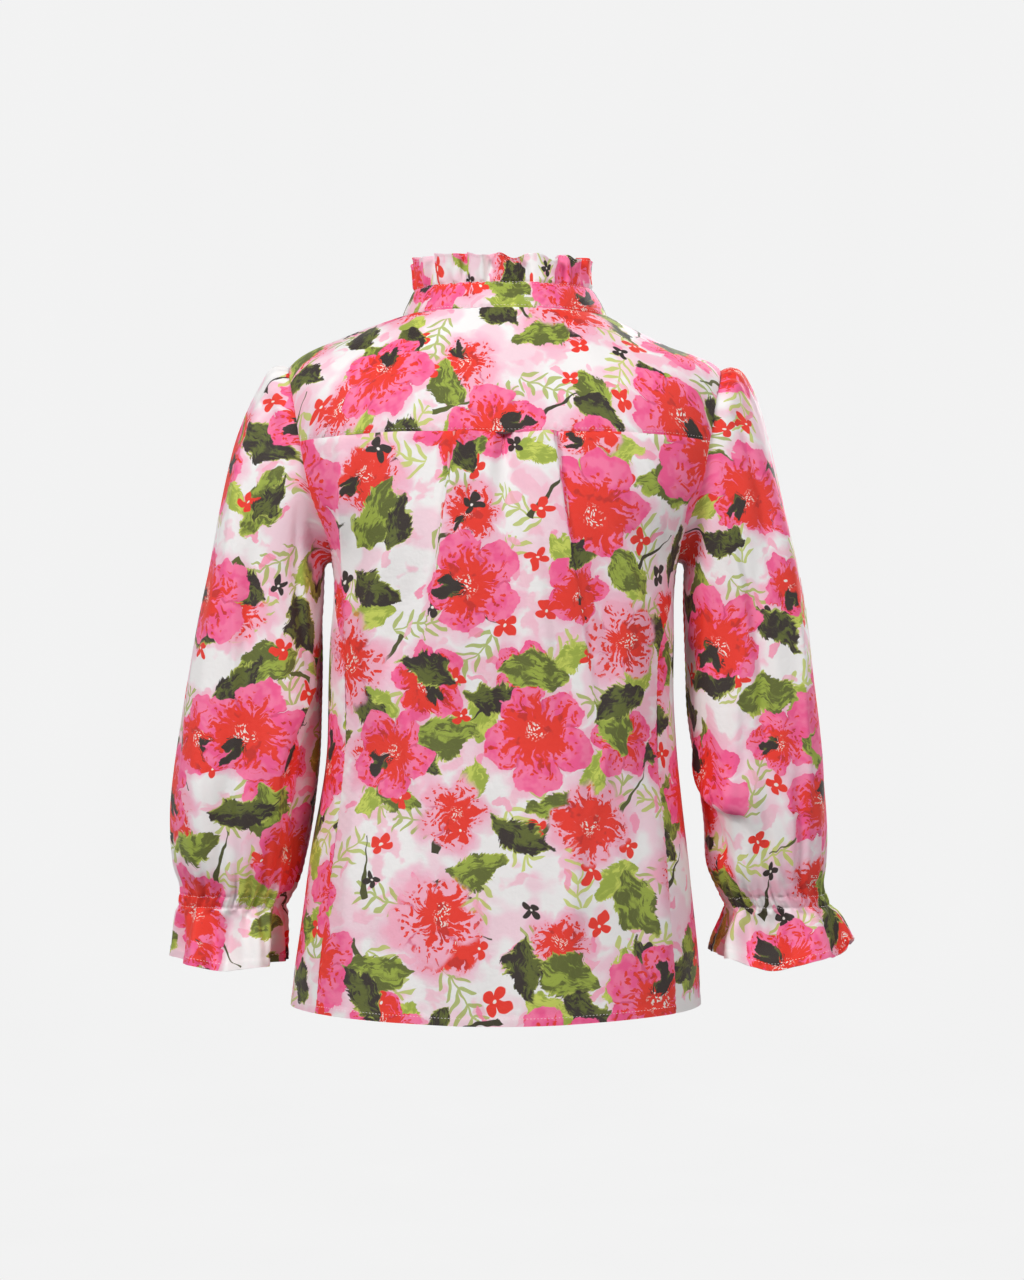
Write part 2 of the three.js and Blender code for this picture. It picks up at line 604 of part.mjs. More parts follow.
// The armhole's shared points as shares of a full turn round the sleeve, with a point halfway along
// each step, so that the sleeve has room for its gathers
function armShares() {
  const back = steps(backArmSteps, (_, i) => backArmShare(i)).slice(1);
  const yoke = steps(yokeArmSteps, (_, i) => yokeArmShare(i));
  const front = steps(frontArmSteps, (_, i) => frontArmShare(i)).slice(1, -1);
  const shared = [...yoke, ...back, ...front.reverse().map((share) => share + 2)];
  return shared.flatMap((share, i) => {
    const next = shared[i + 1] ?? shared[0] + 2;
    return [{ share, from: share, to: share }, { share: (share + next) / 2, from: share, to: next }];
  });
}

// Uneven gathers: a wave round the sleeve whose length varies
function gatherWave(count, turn) {
  return Math.sin(count * turn + 1.3 * Math.sin(3 * turn) + 0.8 * Math.sin(5 * turn + 2));
}

// The height of a sleeve's soft folds at a turn round it and a section
function sleeveFoldHeight(folds, turn, row) {
  const turnDegrees = (((turn / deg) % 360) + 360) % 360;
  let height = 0;
  for (const fold of folds) {
    const ridge = fold.angle + fold.lean * (row - fold.from);
    const away = ((turnDegrees - ridge + 540) % 360) - 180;
    const ends = smoothstep(row, fold.from - 1, fold.from + 1.5) * (1 - smoothstep(row, fold.to - 2, fold.to));
    height += fold.height * ends * foldShape(away, fold.width);
  }
  return height;
}

function buildSleeve(name, { mirrored, hem, folds }) {
  const shares = armShares();
  const armPlace = (share) => clothPoint(mirrored ? mirror(armholeAt(share)) : armholeAt(share));
  const middle = armPlace(0).lerp(armPlace(1), 0.5);
  const headEdge = (amount) =>
    shares.map(({ from, to }) => {
      const edge = armPlace(from).lerp(armPlace(to), 0.5);
      return edge.addScaledVector(middle.clone().sub(edge).normalize(), amount);
    });
  const sideOut = mirrored ? "rightOut" : "leftOut";
  const sideIn = mirrored ? "rightIn" : "leftIn";
  const hemSection = { ...hem, outZ: hem.z, inZ: hem.z, y: -20, gather: 1 };
  const sections = sleeveSections.map((section) => ({ ...section, out: section[sideOut], in: section[sideIn] }));
  sections.push(hemSection);
  const rows = sections.map((section, k) => {
    const row = k + 1;
    return shares.map(({ share }) => {
      const turn = share * Math.PI;
      const point = sectionPoint(section, turn);
      const outward = point.clone().sub(sectionMiddle(section)).normalize();
      const headShare = k === 0 ? smoothstep(Math.cos(turn), headGatherSpread, 2 * headGatherSpread) : 0;
      let height = sleeveFoldHeight(folds, turn, row);
      height += section.gather * gatherWave(cuffGathers, turn);
      height += headGatherHeight * headShare * gatherWave(headGathers, turn);
      if (section === hemSection) {
        const lift = Math.cos(turn) > 0 ? hem.outLift : hem.inLift;
        height += hem.waveHeight * Math.sin(hem.waves * turn);
        point.z += lift * Math.cos(turn) ** 2;
      }
      point.addScaledVector(outward, height);
      return mirrored ? point.setX(-point.x) : point;
    });
  });
  const ordered = (grid) => (mirrored ? grid.map((row) => [...row].reverse()) : grid);
  const outer = ordered([headEdge(seamGap), ...rows]);
  const inner = [ordered([headEdge(seamGap + clothThickness)])[0], ...insideOf(outer).slice(1)];
  addMesh(name, clothWall(outer, inner, true));
}

buildYoke();
buildBack();
buildFrontLeft();
buildFrontRight();
buildPlacket();
buildButtons();
buildCollarStand();
buildCollarRuffle();
buildSleeve("sleeve_left", sleeves.left);
buildSleeve("sleeve_right", sleeves.right);

export default blouse;
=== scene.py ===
import math
import bpy
import numpy as np
from mathutils import Matrix, Vector


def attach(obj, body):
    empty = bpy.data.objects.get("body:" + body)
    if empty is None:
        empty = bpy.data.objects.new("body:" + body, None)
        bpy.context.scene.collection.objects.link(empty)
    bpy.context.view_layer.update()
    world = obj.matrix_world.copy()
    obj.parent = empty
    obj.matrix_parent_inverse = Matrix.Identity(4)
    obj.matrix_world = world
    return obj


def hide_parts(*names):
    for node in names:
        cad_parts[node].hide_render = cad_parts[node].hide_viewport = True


# A woman's blouse in printed cotton, filled out as it is worn, with nobody in it.
# Lengths are millimetres until a mesh is made. +X is the wearer's left, +Y the back, +Z up.
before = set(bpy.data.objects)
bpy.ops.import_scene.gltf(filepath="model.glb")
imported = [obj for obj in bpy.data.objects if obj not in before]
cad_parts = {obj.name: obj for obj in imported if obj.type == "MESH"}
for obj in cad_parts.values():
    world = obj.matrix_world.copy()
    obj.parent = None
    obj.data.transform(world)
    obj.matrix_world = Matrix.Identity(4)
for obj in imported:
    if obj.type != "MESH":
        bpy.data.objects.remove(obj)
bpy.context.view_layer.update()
mm = 0.001
deg = math.pi / 180


def lerp(a, b, t):
    return a + (b - a) * t


def smoothstep(x, low, high):
    t = np.clip((x - low) / (high - low), 0, 1)
    return t * t * (3 - 2 * t)


def unit(vectors):
    return vectors / np.maximum(np.linalg.norm(vectors, axis=-1, keepdims=True), 1e-9)


def boxed(wave, sharp):
    # A wave with flatter tops and steeper flanks
    return np.tanh(sharp * wave) / math.tanh(sharp)


def softNoise(x, y, seed, size):
    # Low wandering waves, about one unit high, whose length is about size
    rng = np.random.default_rng(seed)
    total = np.zeros_like(x, dtype=float)
    waves = 9
    for _ in range(waves):
        turn = rng.uniform(0, math.pi)
        length = size * rng.uniform(0.7, 1.6)
        phase = rng.uniform(0, 2 * math.pi)
        total += np.sin((x * math.cos(turn) + y * math.sin(turn)) * 2 * math.pi / length + phase)
    return total / math.sqrt(waves)


# The cut of the blouse, the same as the frame's

ringColumns = ("run", "halfWidth", "back", "front", "square", "sideZ", "backZ", "frontZ", "sway", "drop")
bodyRings = [dict(zip(ringColumns, row)) for row in (
    (0, 90, 75, 92, 2.0, 2, 3, -66, 0, 0),  # neck seam
    (54, 139, 90, 102, 2.2, -16, -38, -96, 0, 7),  # mid shoulder
    (108, 188, 101, 111, 2.6, -42, -79, -128, 0, 3),  # shoulder point
    (150, 195, 107, 118, 2.8, -84, -114, -160, 0, 0),  # shoulder blades
    (195, 183, 110, 123, 2.8, -148, -159, -190, 0, 0),  # mid armhole
    (250, 152, 112, 127, 2.5, -213, -214, -228, 0, 0),  # underarm
    (322, 151, 109, 126, 2.4, -285, -285, -288, 3, 0),  # bust
    (417, 154, 107, 120, 2.3, -380, -380, -382, 3, 0),  # waist
    (520, 167, 112, 122, 2.3, -483, -484, -484, 5, 0),  # high hip
    (595, 176, 117, 126, 2.3, -558, -560, -558, 7, 0),  # hip
    (638, 179, 119, 128, 2.3, -600, -606, -601, 8, 0),  # hem
)]
standTopRing = dict(zip(ringColumns, (0, 78, 67, 84, 2.0, 26, 26, -43, 1, 0)))
ruffleMidRing = dict(zip(ringColumns, (0, 76, 67, 84, 2.0, 38, 38, -31, 2, 0)))
ruffleTopRing = dict(zip(ringColumns, (0, 75, 67, 85, 2.0, 49, 50, -20, 2, 0)))
neckRing = bodyRings[0]
ringRuns = np.array([ring["run"] for ring in bodyRings], dtype=float)
hemRun = ringRuns[-1]
waistRing = bodyRings[7]

armhole = {"halfAngle": 19 * deg, "topRun": 109, "bottomRun": 250, "square": 2.3}
underarmAngle = 2 * deg
sideSeamAngle = 24 * deg
sideSeamStartRun = 230
sideSeamSwingRun = 340
yokeCornerShare = 0.46
frontSeamShare = 0.055
yokeFrontNeckAngle = -14 * deg
yokeCentreRun = 141
frontUnderarmRun = 370
backUnderarmDip = 60
yokeArmSteps = 8
backArmSteps = 8
frontArmSteps = 16
lowerRows = 11
backColumns = 32
frontColumns = 13
frontNeckColumns = 8
yokeFrontRows = 5
angleStep = 0.01
runStep = 0.5


def ringPoints(ring, angle):
    across = np.cos(angle)
    along = np.sin(angle)
    depth = np.where(along > 0, ring["back"], ring["front"])
    power = ring["square"]
    reach = (np.abs(across / ring["halfWidth"]) ** power + np.abs(along / depth) ** power) ** (-1 / power)
    endZ = np.where(along > 0, ring["backZ"], ring["frontZ"])
    z = lerp(ring["sideZ"], endZ, along ** 2) - ring["drop"] * np.maximum(0, -across) ** 2
    return np.stack([reach * across + ring["sway"], reach * along, z], axis=-1)


def throughRows(places, rows, at):
    # A smooth curve through each column of rows, taken at each column's own place
    last = len(places) - 1
    i = np.clip(np.searchsorted(places, at, side="left") - 1, 0, last - 1)
    before = np.maximum(np.arange(last + 1) - 1, 0)
    after = np.minimum(np.arange(last + 1) + 1, last)
    slopes = (rows[after] - rows[before]) / (places[after] - places[before])[:, None, None]
    span = places[i + 1] - places[i]
    t = ((at - places[i]) / span)[:, None]
    column = np.arange(len(at))
    near = rows[i, column] * (2 * t ** 3 - 3 * t ** 2 + 1) + slopes[i, column] * span[:, None] * (t ** 3 - 2 * t ** 2 + t)
    far = rows[i + 1, column] * (3 * t ** 2 - 2 * t ** 3) + slopes[i + 1, column] * span[:, None] * (t ** 3 - t ** 2)
    return near + far


def bodyPoints(angle, run):
    angle, run = np.broadcast_arrays(angle, run)
    flat = angle.ravel()
    rows = np.stack([ringPoints(ring, flat) for ring in bodyRings])
    return throughRows(ringRuns, rows, run.ravel().astype(float)).reshape(*angle.shape, 3)


def bodyNormals(angle, run):
    around = bodyPoints(angle + angleStep, run) - bodyPoints(angle - angleStep, run)
    down = bodyPoints(angle, np.minimum(run + runStep, hemRun)) - bodyPoints(angle, np.maximum(run - runStep, 0))
    return unit(np.cross(down, around))


def armholeAt(share):
    turn = np.asarray(share, dtype=float) * math.pi
    power = 2 / armhole["square"]
    up = np.sign(np.cos(turn)) * np.abs(np.cos(turn)) ** power
    back = np.sign(np.sin(turn)) * np.abs(np.sin(turn)) ** power
    middle = (armhole["topRun"] + armhole["bottomRun"]) / 2
    half = (armhole["bottomRun"] - armhole["topRun"]) / 2
    return armhole["halfAngle"] * back + underarmAngle * (1 - up) / 2, middle - half * up


yokeCorner = armholeAt(yokeCornerShare)


def yokeRunAt(angle):
    return lerp(yokeCentreRun, yokeCorner[1], (np.cos(angle) / np.cos(yokeCorner[0])) ** 2)


def yokeFrontSeamAt(share):
    end = armholeAt(-frontSeamShare)
    return lerp(yokeFrontNeckAngle, end[0], share), end[1] * share


def sideSeamAt(share):
    run = lerp(armhole["bottomRun"], hemRun, share)
    swing = smoothstep(run, sideSeamStartRun, sideSeamSwingRun)
    start = smoothstep(armhole["bottomRun"], sideSeamStartRun, sideSeamSwingRun)
    return lerp(underarmAngle, sideSeamAngle, (swing - start) / (1 - start)), run


def frontEdgeAt(x, run):
    depth = -bodyPoints(np.full(np.shape(run), -math.pi / 2), run)[..., 1]
    return -math.pi / 2 + np.arctan2(x, depth), run


def joined(test, first, second):
    return tuple(np.where(test, a, b) for a, b in zip(first, second))


def mirrored(edge):
    return math.pi - edge[0], edge[1]


def fineSteps(*spans):
    # Places along an edge: so many of the frame's steps, each split so many times
    places = [0.0]
    for count, split in spans:
        start = places[-1]
        places += [start + (k + 1) / split for k in range(count * split)]
    return np.array(places)


def fillPanel(top, bottom, left, right, u, v):
    # Fills the four edges of a panel, each an angle and a run at every place along it
    u = u[None, :]
    v = v[:, None]
    filled = []
    for t, b, l, r in zip(top, bottom, left, right):
        ruled = lerp(t[None, :], b[None, :], v) + lerp(l[:, None], r[:, None], u)
        corners = lerp(lerp(t[0], t[-1], u), lerp(b[0], b[-1], u), v)
        filled.append(ruled - corners)
    return filled


# Folds, pleats and creases

backPleats = {"x": 41, "spread": 0.16, "rise": 7.0, "soft": 1.8, "inner": 28, "fall": 150, "takeUp": 22}
middlePleat = {"halfWidth": 8.5, "spread": 0.16, "depth": 9.5, "fall": 95}
foldColumns = ("side", "x", "lean", "height", "width", "start", "end")
bodyFolds = [dict(zip(foldColumns, row)) for row in (
    (1, 118, -0.05, 4, 17, 215, 420),
    (1, -112, 0.05, 4, 16, 220, 430),
    (1, 72, 0.03, -3, 26, 330, 652),
    (1, -30, -0.04, 3, 24, 380, 652),
    (1, -92, -0.03, -3, 22, 400, 652),
    (-1, 84, 0.05, 4, 20, 260, 652),
    (-1, -78, -0.04, 4, 20, 280, 652),
    (-1, 48, 0.02, -3, 18, 330, 652),
    (-1, -50, -0.03, -3, 18, 330, 652),
)]

# Creases on the body: places down the ridge as x and run, then height, width and skew. A height
# below 0 is a trough, and skew makes one flank steeper than the other.
backCreases = [
    ([(-88, 224), (-104, 262), (-122, 330)], 4.2, 7, 0.3),
    ([(-66, 240), (-84, 300), (-108, 372)], -3.4, 8, -0.2),
    ([(92, 228), (108, 270), (124, 330)], 4.2, 7, -0.3),
    ([(70, 250), (90, 310), (110, 380)], -3.1, 8, 0.2),
    ([(-24, 200), (-30, 270), (-40, 380)], 2.5, 7, 0.2),
    ([(34, 210), (40, 290), (40, 390)], 2.2, 8, -0.2),
    ([(-62, 390), (-60, 480), (-50, 612)], 3.1, 11, 0.2),
    ([(54, 400), (64, 500), (60, 622)], 3.1, 12, -0.2),
    ([(10, 420), (2, 520), (6, 630)], -2.8, 14, 0.1),
    ([(-124, 420), (-132, 510), (-140, 620)], 2.7, 9, 0.2),
    ([(122, 430), (132, 520), (138, 625)], 2.7, 9, -0.2),
    ([(-12, 300), (-2, 360), (12, 430)], -2.0, 11, 0.0),
    ([(100, 330), (84, 400), (66, 480)], 2.2, 7, 0.3),
    ([(-96, 350), (-84, 420), (-66, 490)], 2.1, 7, -0.3),
    ([(141, 160), (138, 225), (133, 330)], 4.2, 4.5, -0.35),
    ([(118, 172), (126, 205), (132, 245)], -2.4, 5, 0.2),
    ([(-112, 166), (-128, 196), (-138, 240)], 3.0, 4.5, 0.3),
    ([(-96, 180), (-112, 220), (-126, 290)], -2.4, 5, -0.2),
]
frontCreases = [
    ([(92, 205), (74, 270), (58, 345)], 3.6, 7, 0.3),
    ([(112, 230), (98, 300), (84, 375)], -2.8, 8, 0.0),
    ([(-92, 205), (-74, 260), (-56, 335)], 3.6, 7, -0.3),
    ([(-112, 235), (-98, 300), (-84, 375)], -2.8, 8, 0.0),
    ([(44, 110), (52, 190), (64, 270)], 2.2, 10, 0.2),
    ([(-44, 120), (-52, 200), (-62, 280)], 2.2, 10, -0.2),
    ([(70, 410), (76, 500), (80, 615)], 2.8, 11, 0.2),
    ([(-66, 400), (-72, 500), (-76, 615)], 2.8, 11, -0.2),
    ([(118, 420), (126, 510), (130, 620)], -2.5, 11, 0.0),
    ([(-116, 420), (-124, 510), (-128, 620)], -2.5, 11, 0.0),
    ([(38, 460), (34, 540), (34, 625)], 2.1, 8, 0.2),
    ([(-40, 470), (-36, 550), (-36, 630)], 2.1, 8, -0.2),
]


def creaseHeight(x, y, creases):
    total = np.zeros_like(x)
    for places, height, width, skew in creases:
        xs, ys = np.array(places, dtype=float).T
        curve = np.polyfit(ys, xs, len(ys) - 1)
        within = np.clip(y, ys[0], ys[-1])
        slope = np.polyval(np.polyder(curve), within)
        away = (x - np.polyval(curve, within)) / np.hypot(1, slope)
        share = (y - ys[0]) / (ys[-1] - ys[0])
        taper = smoothstep(share, -0.15, 0.3) * (1 - smoothstep(share, 0.6, 1.15))
        reach = width * np.where(away > 0, 1 + skew, 1 - skew)
        total += height * taper * np.exp(-(away / reach) ** 2)
    return total


def pleatHeight(x, below):
    edge = np.abs(backPleats["x"] + backPleats["spread"] * below)
    height = np.zeros_like(x)
    for side in (1, -1):
        inside = side * x
        outer = 1 - smoothstep(inside, edge - 1, edge + backPleats["soft"] + 0.02 * below)
        inner = smoothstep(inside, edge - backPleats["inner"], edge - 1)
        height += backPleats["rise"] * outer * inner * np.exp(-below / backPleats["fall"])
    reach = middlePleat["halfWidth"] + middlePleat["spread"] * below
    trough = np.clip(1 - np.abs(x) / reach, 0, 1)
    height -= middlePleat["depth"] * smoothstep(trough, 0, 1) * np.exp(-below / middlePleat["fall"])
    return height


def pleatTakeUp(x, below):
    # Cloth hidden in the tucks: the print jumps sideways across each fold line
    edge = backPleats["x"] + backPleats["spread"] * below
    jump = backPleats["takeUp"] * np.exp(-below / backPleats["fall"])
    sides = np.sign(x) * smoothstep(np.abs(x), edge, edge + 1.5)
    middle = 0.6 * np.sign(x) * smoothstep(np.abs(x), 0, 3) * np.exp(-below / middlePleat["fall"])
    return -jump * (sides + middle)


def bodyFoldHeight(points, run):
    height = np.zeros_like(run)
    for fold in bodyFolds:
        ridge = fold["x"] + fold["lean"] * (run - fold["start"])
        begun = smoothstep(run, fold["start"], fold["start"] + 90)
        ended = 0.5 * smoothstep(run, fold["end"] - 60, fold["end"])
        here = fold["height"] * begun * (1 - ended) * np.exp(-((points[..., 0] - ridge) / fold["width"]) ** 2)
        height += np.where(np.sign(points[..., 1]) == fold["side"], here, 0)
    return height


# The print's own measure across the body: the length round the waist from the centre back
lengthAngles = np.linspace(-1.2 * math.pi, 1.8 * math.pi, 3000)
lengthSteps = np.linalg.norm(np.diff(ringPoints(waistRing, lengthAngles), axis=0), axis=1)
lengthRound = np.concatenate([[0], np.cumsum(lengthSteps)])
lengthRound -= np.interp(math.pi / 2, lengthAngles, lengthRound)


def edgeDistances(points):
    # How far each point lies from the panel's top, bottom, left and right edges, along the cloth
    down = np.linalg.norm(np.diff(points, axis=0), axis=2)
    across = np.linalg.norm(np.diff(points, axis=1), axis=2)
    fromTop = np.concatenate([np.zeros((1, points.shape[1])), np.cumsum(down, axis=0)])
    fromLeft = np.concatenate([np.zeros((points.shape[0], 1)), np.cumsum(across, axis=1)], axis=1)
    return fromTop, fromTop[-1:] - fromTop, fromLeft, fromLeft[:, -1:] - fromLeft


seam = {"sink": 0.8, "width": 1.8, "puckerLength": 8.0, "puckerHeight": 0.32, "puckerReach": 13.0}
hemTurn = {"depth": 7.0, "rise": 0.5}


def seamHeight(away, along, phase):
    # A seam lies a little lower than the cloth beside it, which puckers along it
    sink = -seam["sink"] * np.exp(-(away / seam["width"]) ** 2)
    wave = np.sin(2 * math.pi * along / seam["puckerLength"] + 1.7 * np.sin(along / 23 + phase))
    return sink + seam["puckerHeight"] * wave * np.exp(-away / seam["puckerReach"])


def hemHeight(away):
    return hemTurn["rise"] * (1 - smoothstep(away, hemTurn["depth"] - 0.8, hemTurn["depth"] + 0.8))


def gridNormals(points):
    return unit(np.cross(np.gradient(points, axis=0), np.gradient(points, axis=1)))


def makeMesh(name, points, faces, slots, cloth=None):
    mesh = bpy.data.meshes.new(name)
    mesh.from_pydata((np.asarray(points) * mm).tolist(), [], faces)
    mesh.polygons.foreach_set("material_index", slots)
    if cloth is not None:
        layer = mesh.attributes.new("cloth", "FLOAT_VECTOR", "POINT")
        layer.data.foreach_set("vector", np.asarray(cloth, dtype=np.float32).ravel())
    mesh.validate()
    mesh.update()
    mesh.shade_smooth()
    mesh.set_sharp_from_angle(angle=math.radians(55))
    piece = bpy.data.objects.new(name, mesh)
    bpy.context.scene.collection.objects.link(piece)
    return piece


clothThickness = 0.7


def clothShell(name, points, cloth, inside=2):
    # A thin closed sheet: a fine outer face, a coarser inner face and a rim that joins them
    rows, columns = points.shape[:2]
    inner = (points - clothThickness * gridNormals(points))[::inside, ::inside]
    innerRows, innerColumns = inner.shape[:2]
    outerAt = np.arange(rows * columns).reshape(rows, columns)
    innerAt = np.arange(innerRows * innerColumns).reshape(innerRows, innerColumns) + rows * columns
    outerFaces = np.stack([outerAt[:-1, :-1], outerAt[1:, :-1], outerAt[1:, 1:], outerAt[:-1, 1:]], axis=-1)
    innerFaces = np.stack([innerAt[:-1, :-1], innerAt[:-1, 1:], innerAt[1:, 1:], innerAt[1:, :-1]], axis=-1)
    faces = outerFaces.reshape(-1, 4).tolist() + innerFaces.reshape(-1, 4).tolist()
    slots = [0] * ((rows - 1) * (columns - 1)) + [1] * ((innerRows - 1) * (innerColumns - 1))
    edges = (
        (outerAt[0], innerAt[0]),
        (outerAt[-1, ::-1], innerAt[-1, ::-1]),
        (outerAt[::-1, 0], innerAt[::-1, 0]),
        (outerAt[:, -1], innerAt[:, -1]),
    )
    for outerEdge, innerEdge in edges:
        for k in range(len(innerEdge) - 1):
            run = outerEdge[k * inside:(k + 1) * inside + 1].tolist()
            faces.append(run + [int(innerEdge[k + 1]), int(innerEdge[k])])
            slots.append(0)
    allPoints = np.concatenate([points.reshape(-1, 3), inner.reshape(-1, 3)])
    allCloth = np.concatenate([cloth.reshape(-1, 3), cloth[::inside, ::inside].reshape(-1, 3)])
    return makeMesh(name, allPoints, faces, slots, allCloth)


def printPlace(p, q, seed):
    return np.stack([p, q, np.full_like(p, seed)], axis=-1)


def layerArea(points):
    down = points[1:, :-1] - points[:-1, :-1]
    across = points[:-1, 1:] - points[:-1, :-1]
    return np.linalg.norm(np.cross(down, across), axis=2).sum() / 1e6


# Materials: the print is drawn with nodes from the cloth's own measures in millimetres

def linear(code):
    values = [int(code[i:i + 2], 16) / 255 for i in (0, 2, 4)]
    return tuple(v / 12.92 if v <= 0.04045 else ((v + 0.055) / 1.055) ** 2.4 for v in values) + (1.0,)


class NodeMaker:
    def __init__(self, tree):
        self.tree = tree

    def feed(self, socket, value):
        if isinstance(value, bpy.types.NodeSocket):
            self.tree.links.new(value, socket)
        else:
            socket.default_value = value

    def node(self, kind, inputs, **settings):
        made = self.tree.nodes.new(kind)
        for key, value in settings.items():
            setattr(made, key, value)
        for socket, value in inputs.items():
            self.feed(made.inputs[socket], value)
        return made

    def maths(self, operation, *values):
        return self.node("ShaderNodeMath", dict(enumerate(values)), operation=operation).outputs[0]

    def vectors(self, operation, *values, output=0):
        return self.node("ShaderNodeVectorMath", dict(enumerate(values)), operation=operation).outputs[output]

    def scaled(self, vector, amount):
        made = self.node("ShaderNodeVectorMath", {0: vector, "Scale": amount}, operation="SCALE")
        return made.outputs[0]

    def ramp(self, value, low, high, start=0.0, end=1.0):
        inputs = {"Value": value, "From Min": low, "From Max": high, "To Min": start, "To Max": end}
        return self.node("ShaderNodeMapRange", inputs, interpolation_type="SMOOTHSTEP").outputs[0]

    def mix(self, factor, a, b, blend="MIX"):
        made = self.node("ShaderNodeMix", {0: factor, 6: a, 7: b}, data_type="RGBA", blend_type=blend)
        return made.outputs[2]

    def split(self, vector):
        return self.node("ShaderNodeSeparateXYZ", {0: vector}).outputs

    def join(self, x, y, z=0.0):
        return self.node("ShaderNodeCombineXYZ", {0: x, 1: y, 2: z}).outputs[0]

    def noise(self, vector, size, detail=2.0, rough=0.5, output=0, space="2D"):
        inputs = {"Vector": vector, "Scale": 1 / size, "Detail": detail, "Roughness": rough}
        return self.node("ShaderNodeTexNoise", inputs, noise_dimensions=space).outputs[output]

    def cells(self, vector, size, random):
        inputs = {"Vector": vector, "Scale": 1 / size, "Randomness": random}
        return self.node("ShaderNodeTexVoronoi", inputs, voronoi_dimensions="2D").outputs

    def scattered(self, place, size, random, turn, shift):
        # One motif to a cell: where a point lies from its own motif's middle, and three chances
        moved = self.vectors("ADD", place, (shift, 0.7 * shift, 0.0))
        turned = self.node("ShaderNodeVectorRotate", {"Vector": moved, "Angle": turn}, rotation_type="Z_AXIS").outputs[0]
        cell = self.cells(turned, size, random)
        local = self.vectors("SUBTRACT", turned, cell["Position"])
        local = self.vectors("MULTIPLY", local, (1.0, 1.0, 0.0))
        chance = self.split(cell["Color"])
        spin = self.maths("MULTIPLY", chance[0], 2 * math.pi)
        local = self.node("ShaderNodeVectorRotate", {"Vector": local, "Angle": spin}, rotation_type="Z_AXIS").outputs[0]
        return local, chance


printColours = {
    "ground": linear("f6f3f2"), "wash": linear("f9d6e1"), "deepWash": linear("f9bdd2"),
    "paleBloom": linear("fbbccf"), "pink": linear("ff78a6"), "hotPink": linear("f95592"), "deepPink": linear("d92a66"),
    "red": linear("f02c14"), "darkRed": linear("b41412"), "cream": linear("fdf1ea"),
    "brown": linear("281c16"), "olive": linear("5c6420"), "leafLight": linear("9dae3c"), "lime": linear("cbd55a"),
}
# Each layer of motifs: cell size, how far a motif may stray in its cell, the layer's turn and shift
motifLayers = {
    "bigBlooms": (124, 0.36, 0.45, 37), "midBlooms": (104, 0.44, -0.35, 171),
    "darkLeaves": (78, 0.42, 0.9, 63), "greenLeaves": (92, 0.42, -0.7, 205), "lightLeaves": (86, 0.44, 0.2, 119),
    "sprigs": (70, 0.50, 1.3, 14), "blossoms": (44, 0.60, 0.15, 91), "petals": (30, 0.80, 0.6, 143),
    "twigs": (82, 0.50, 0.3, 77),
}


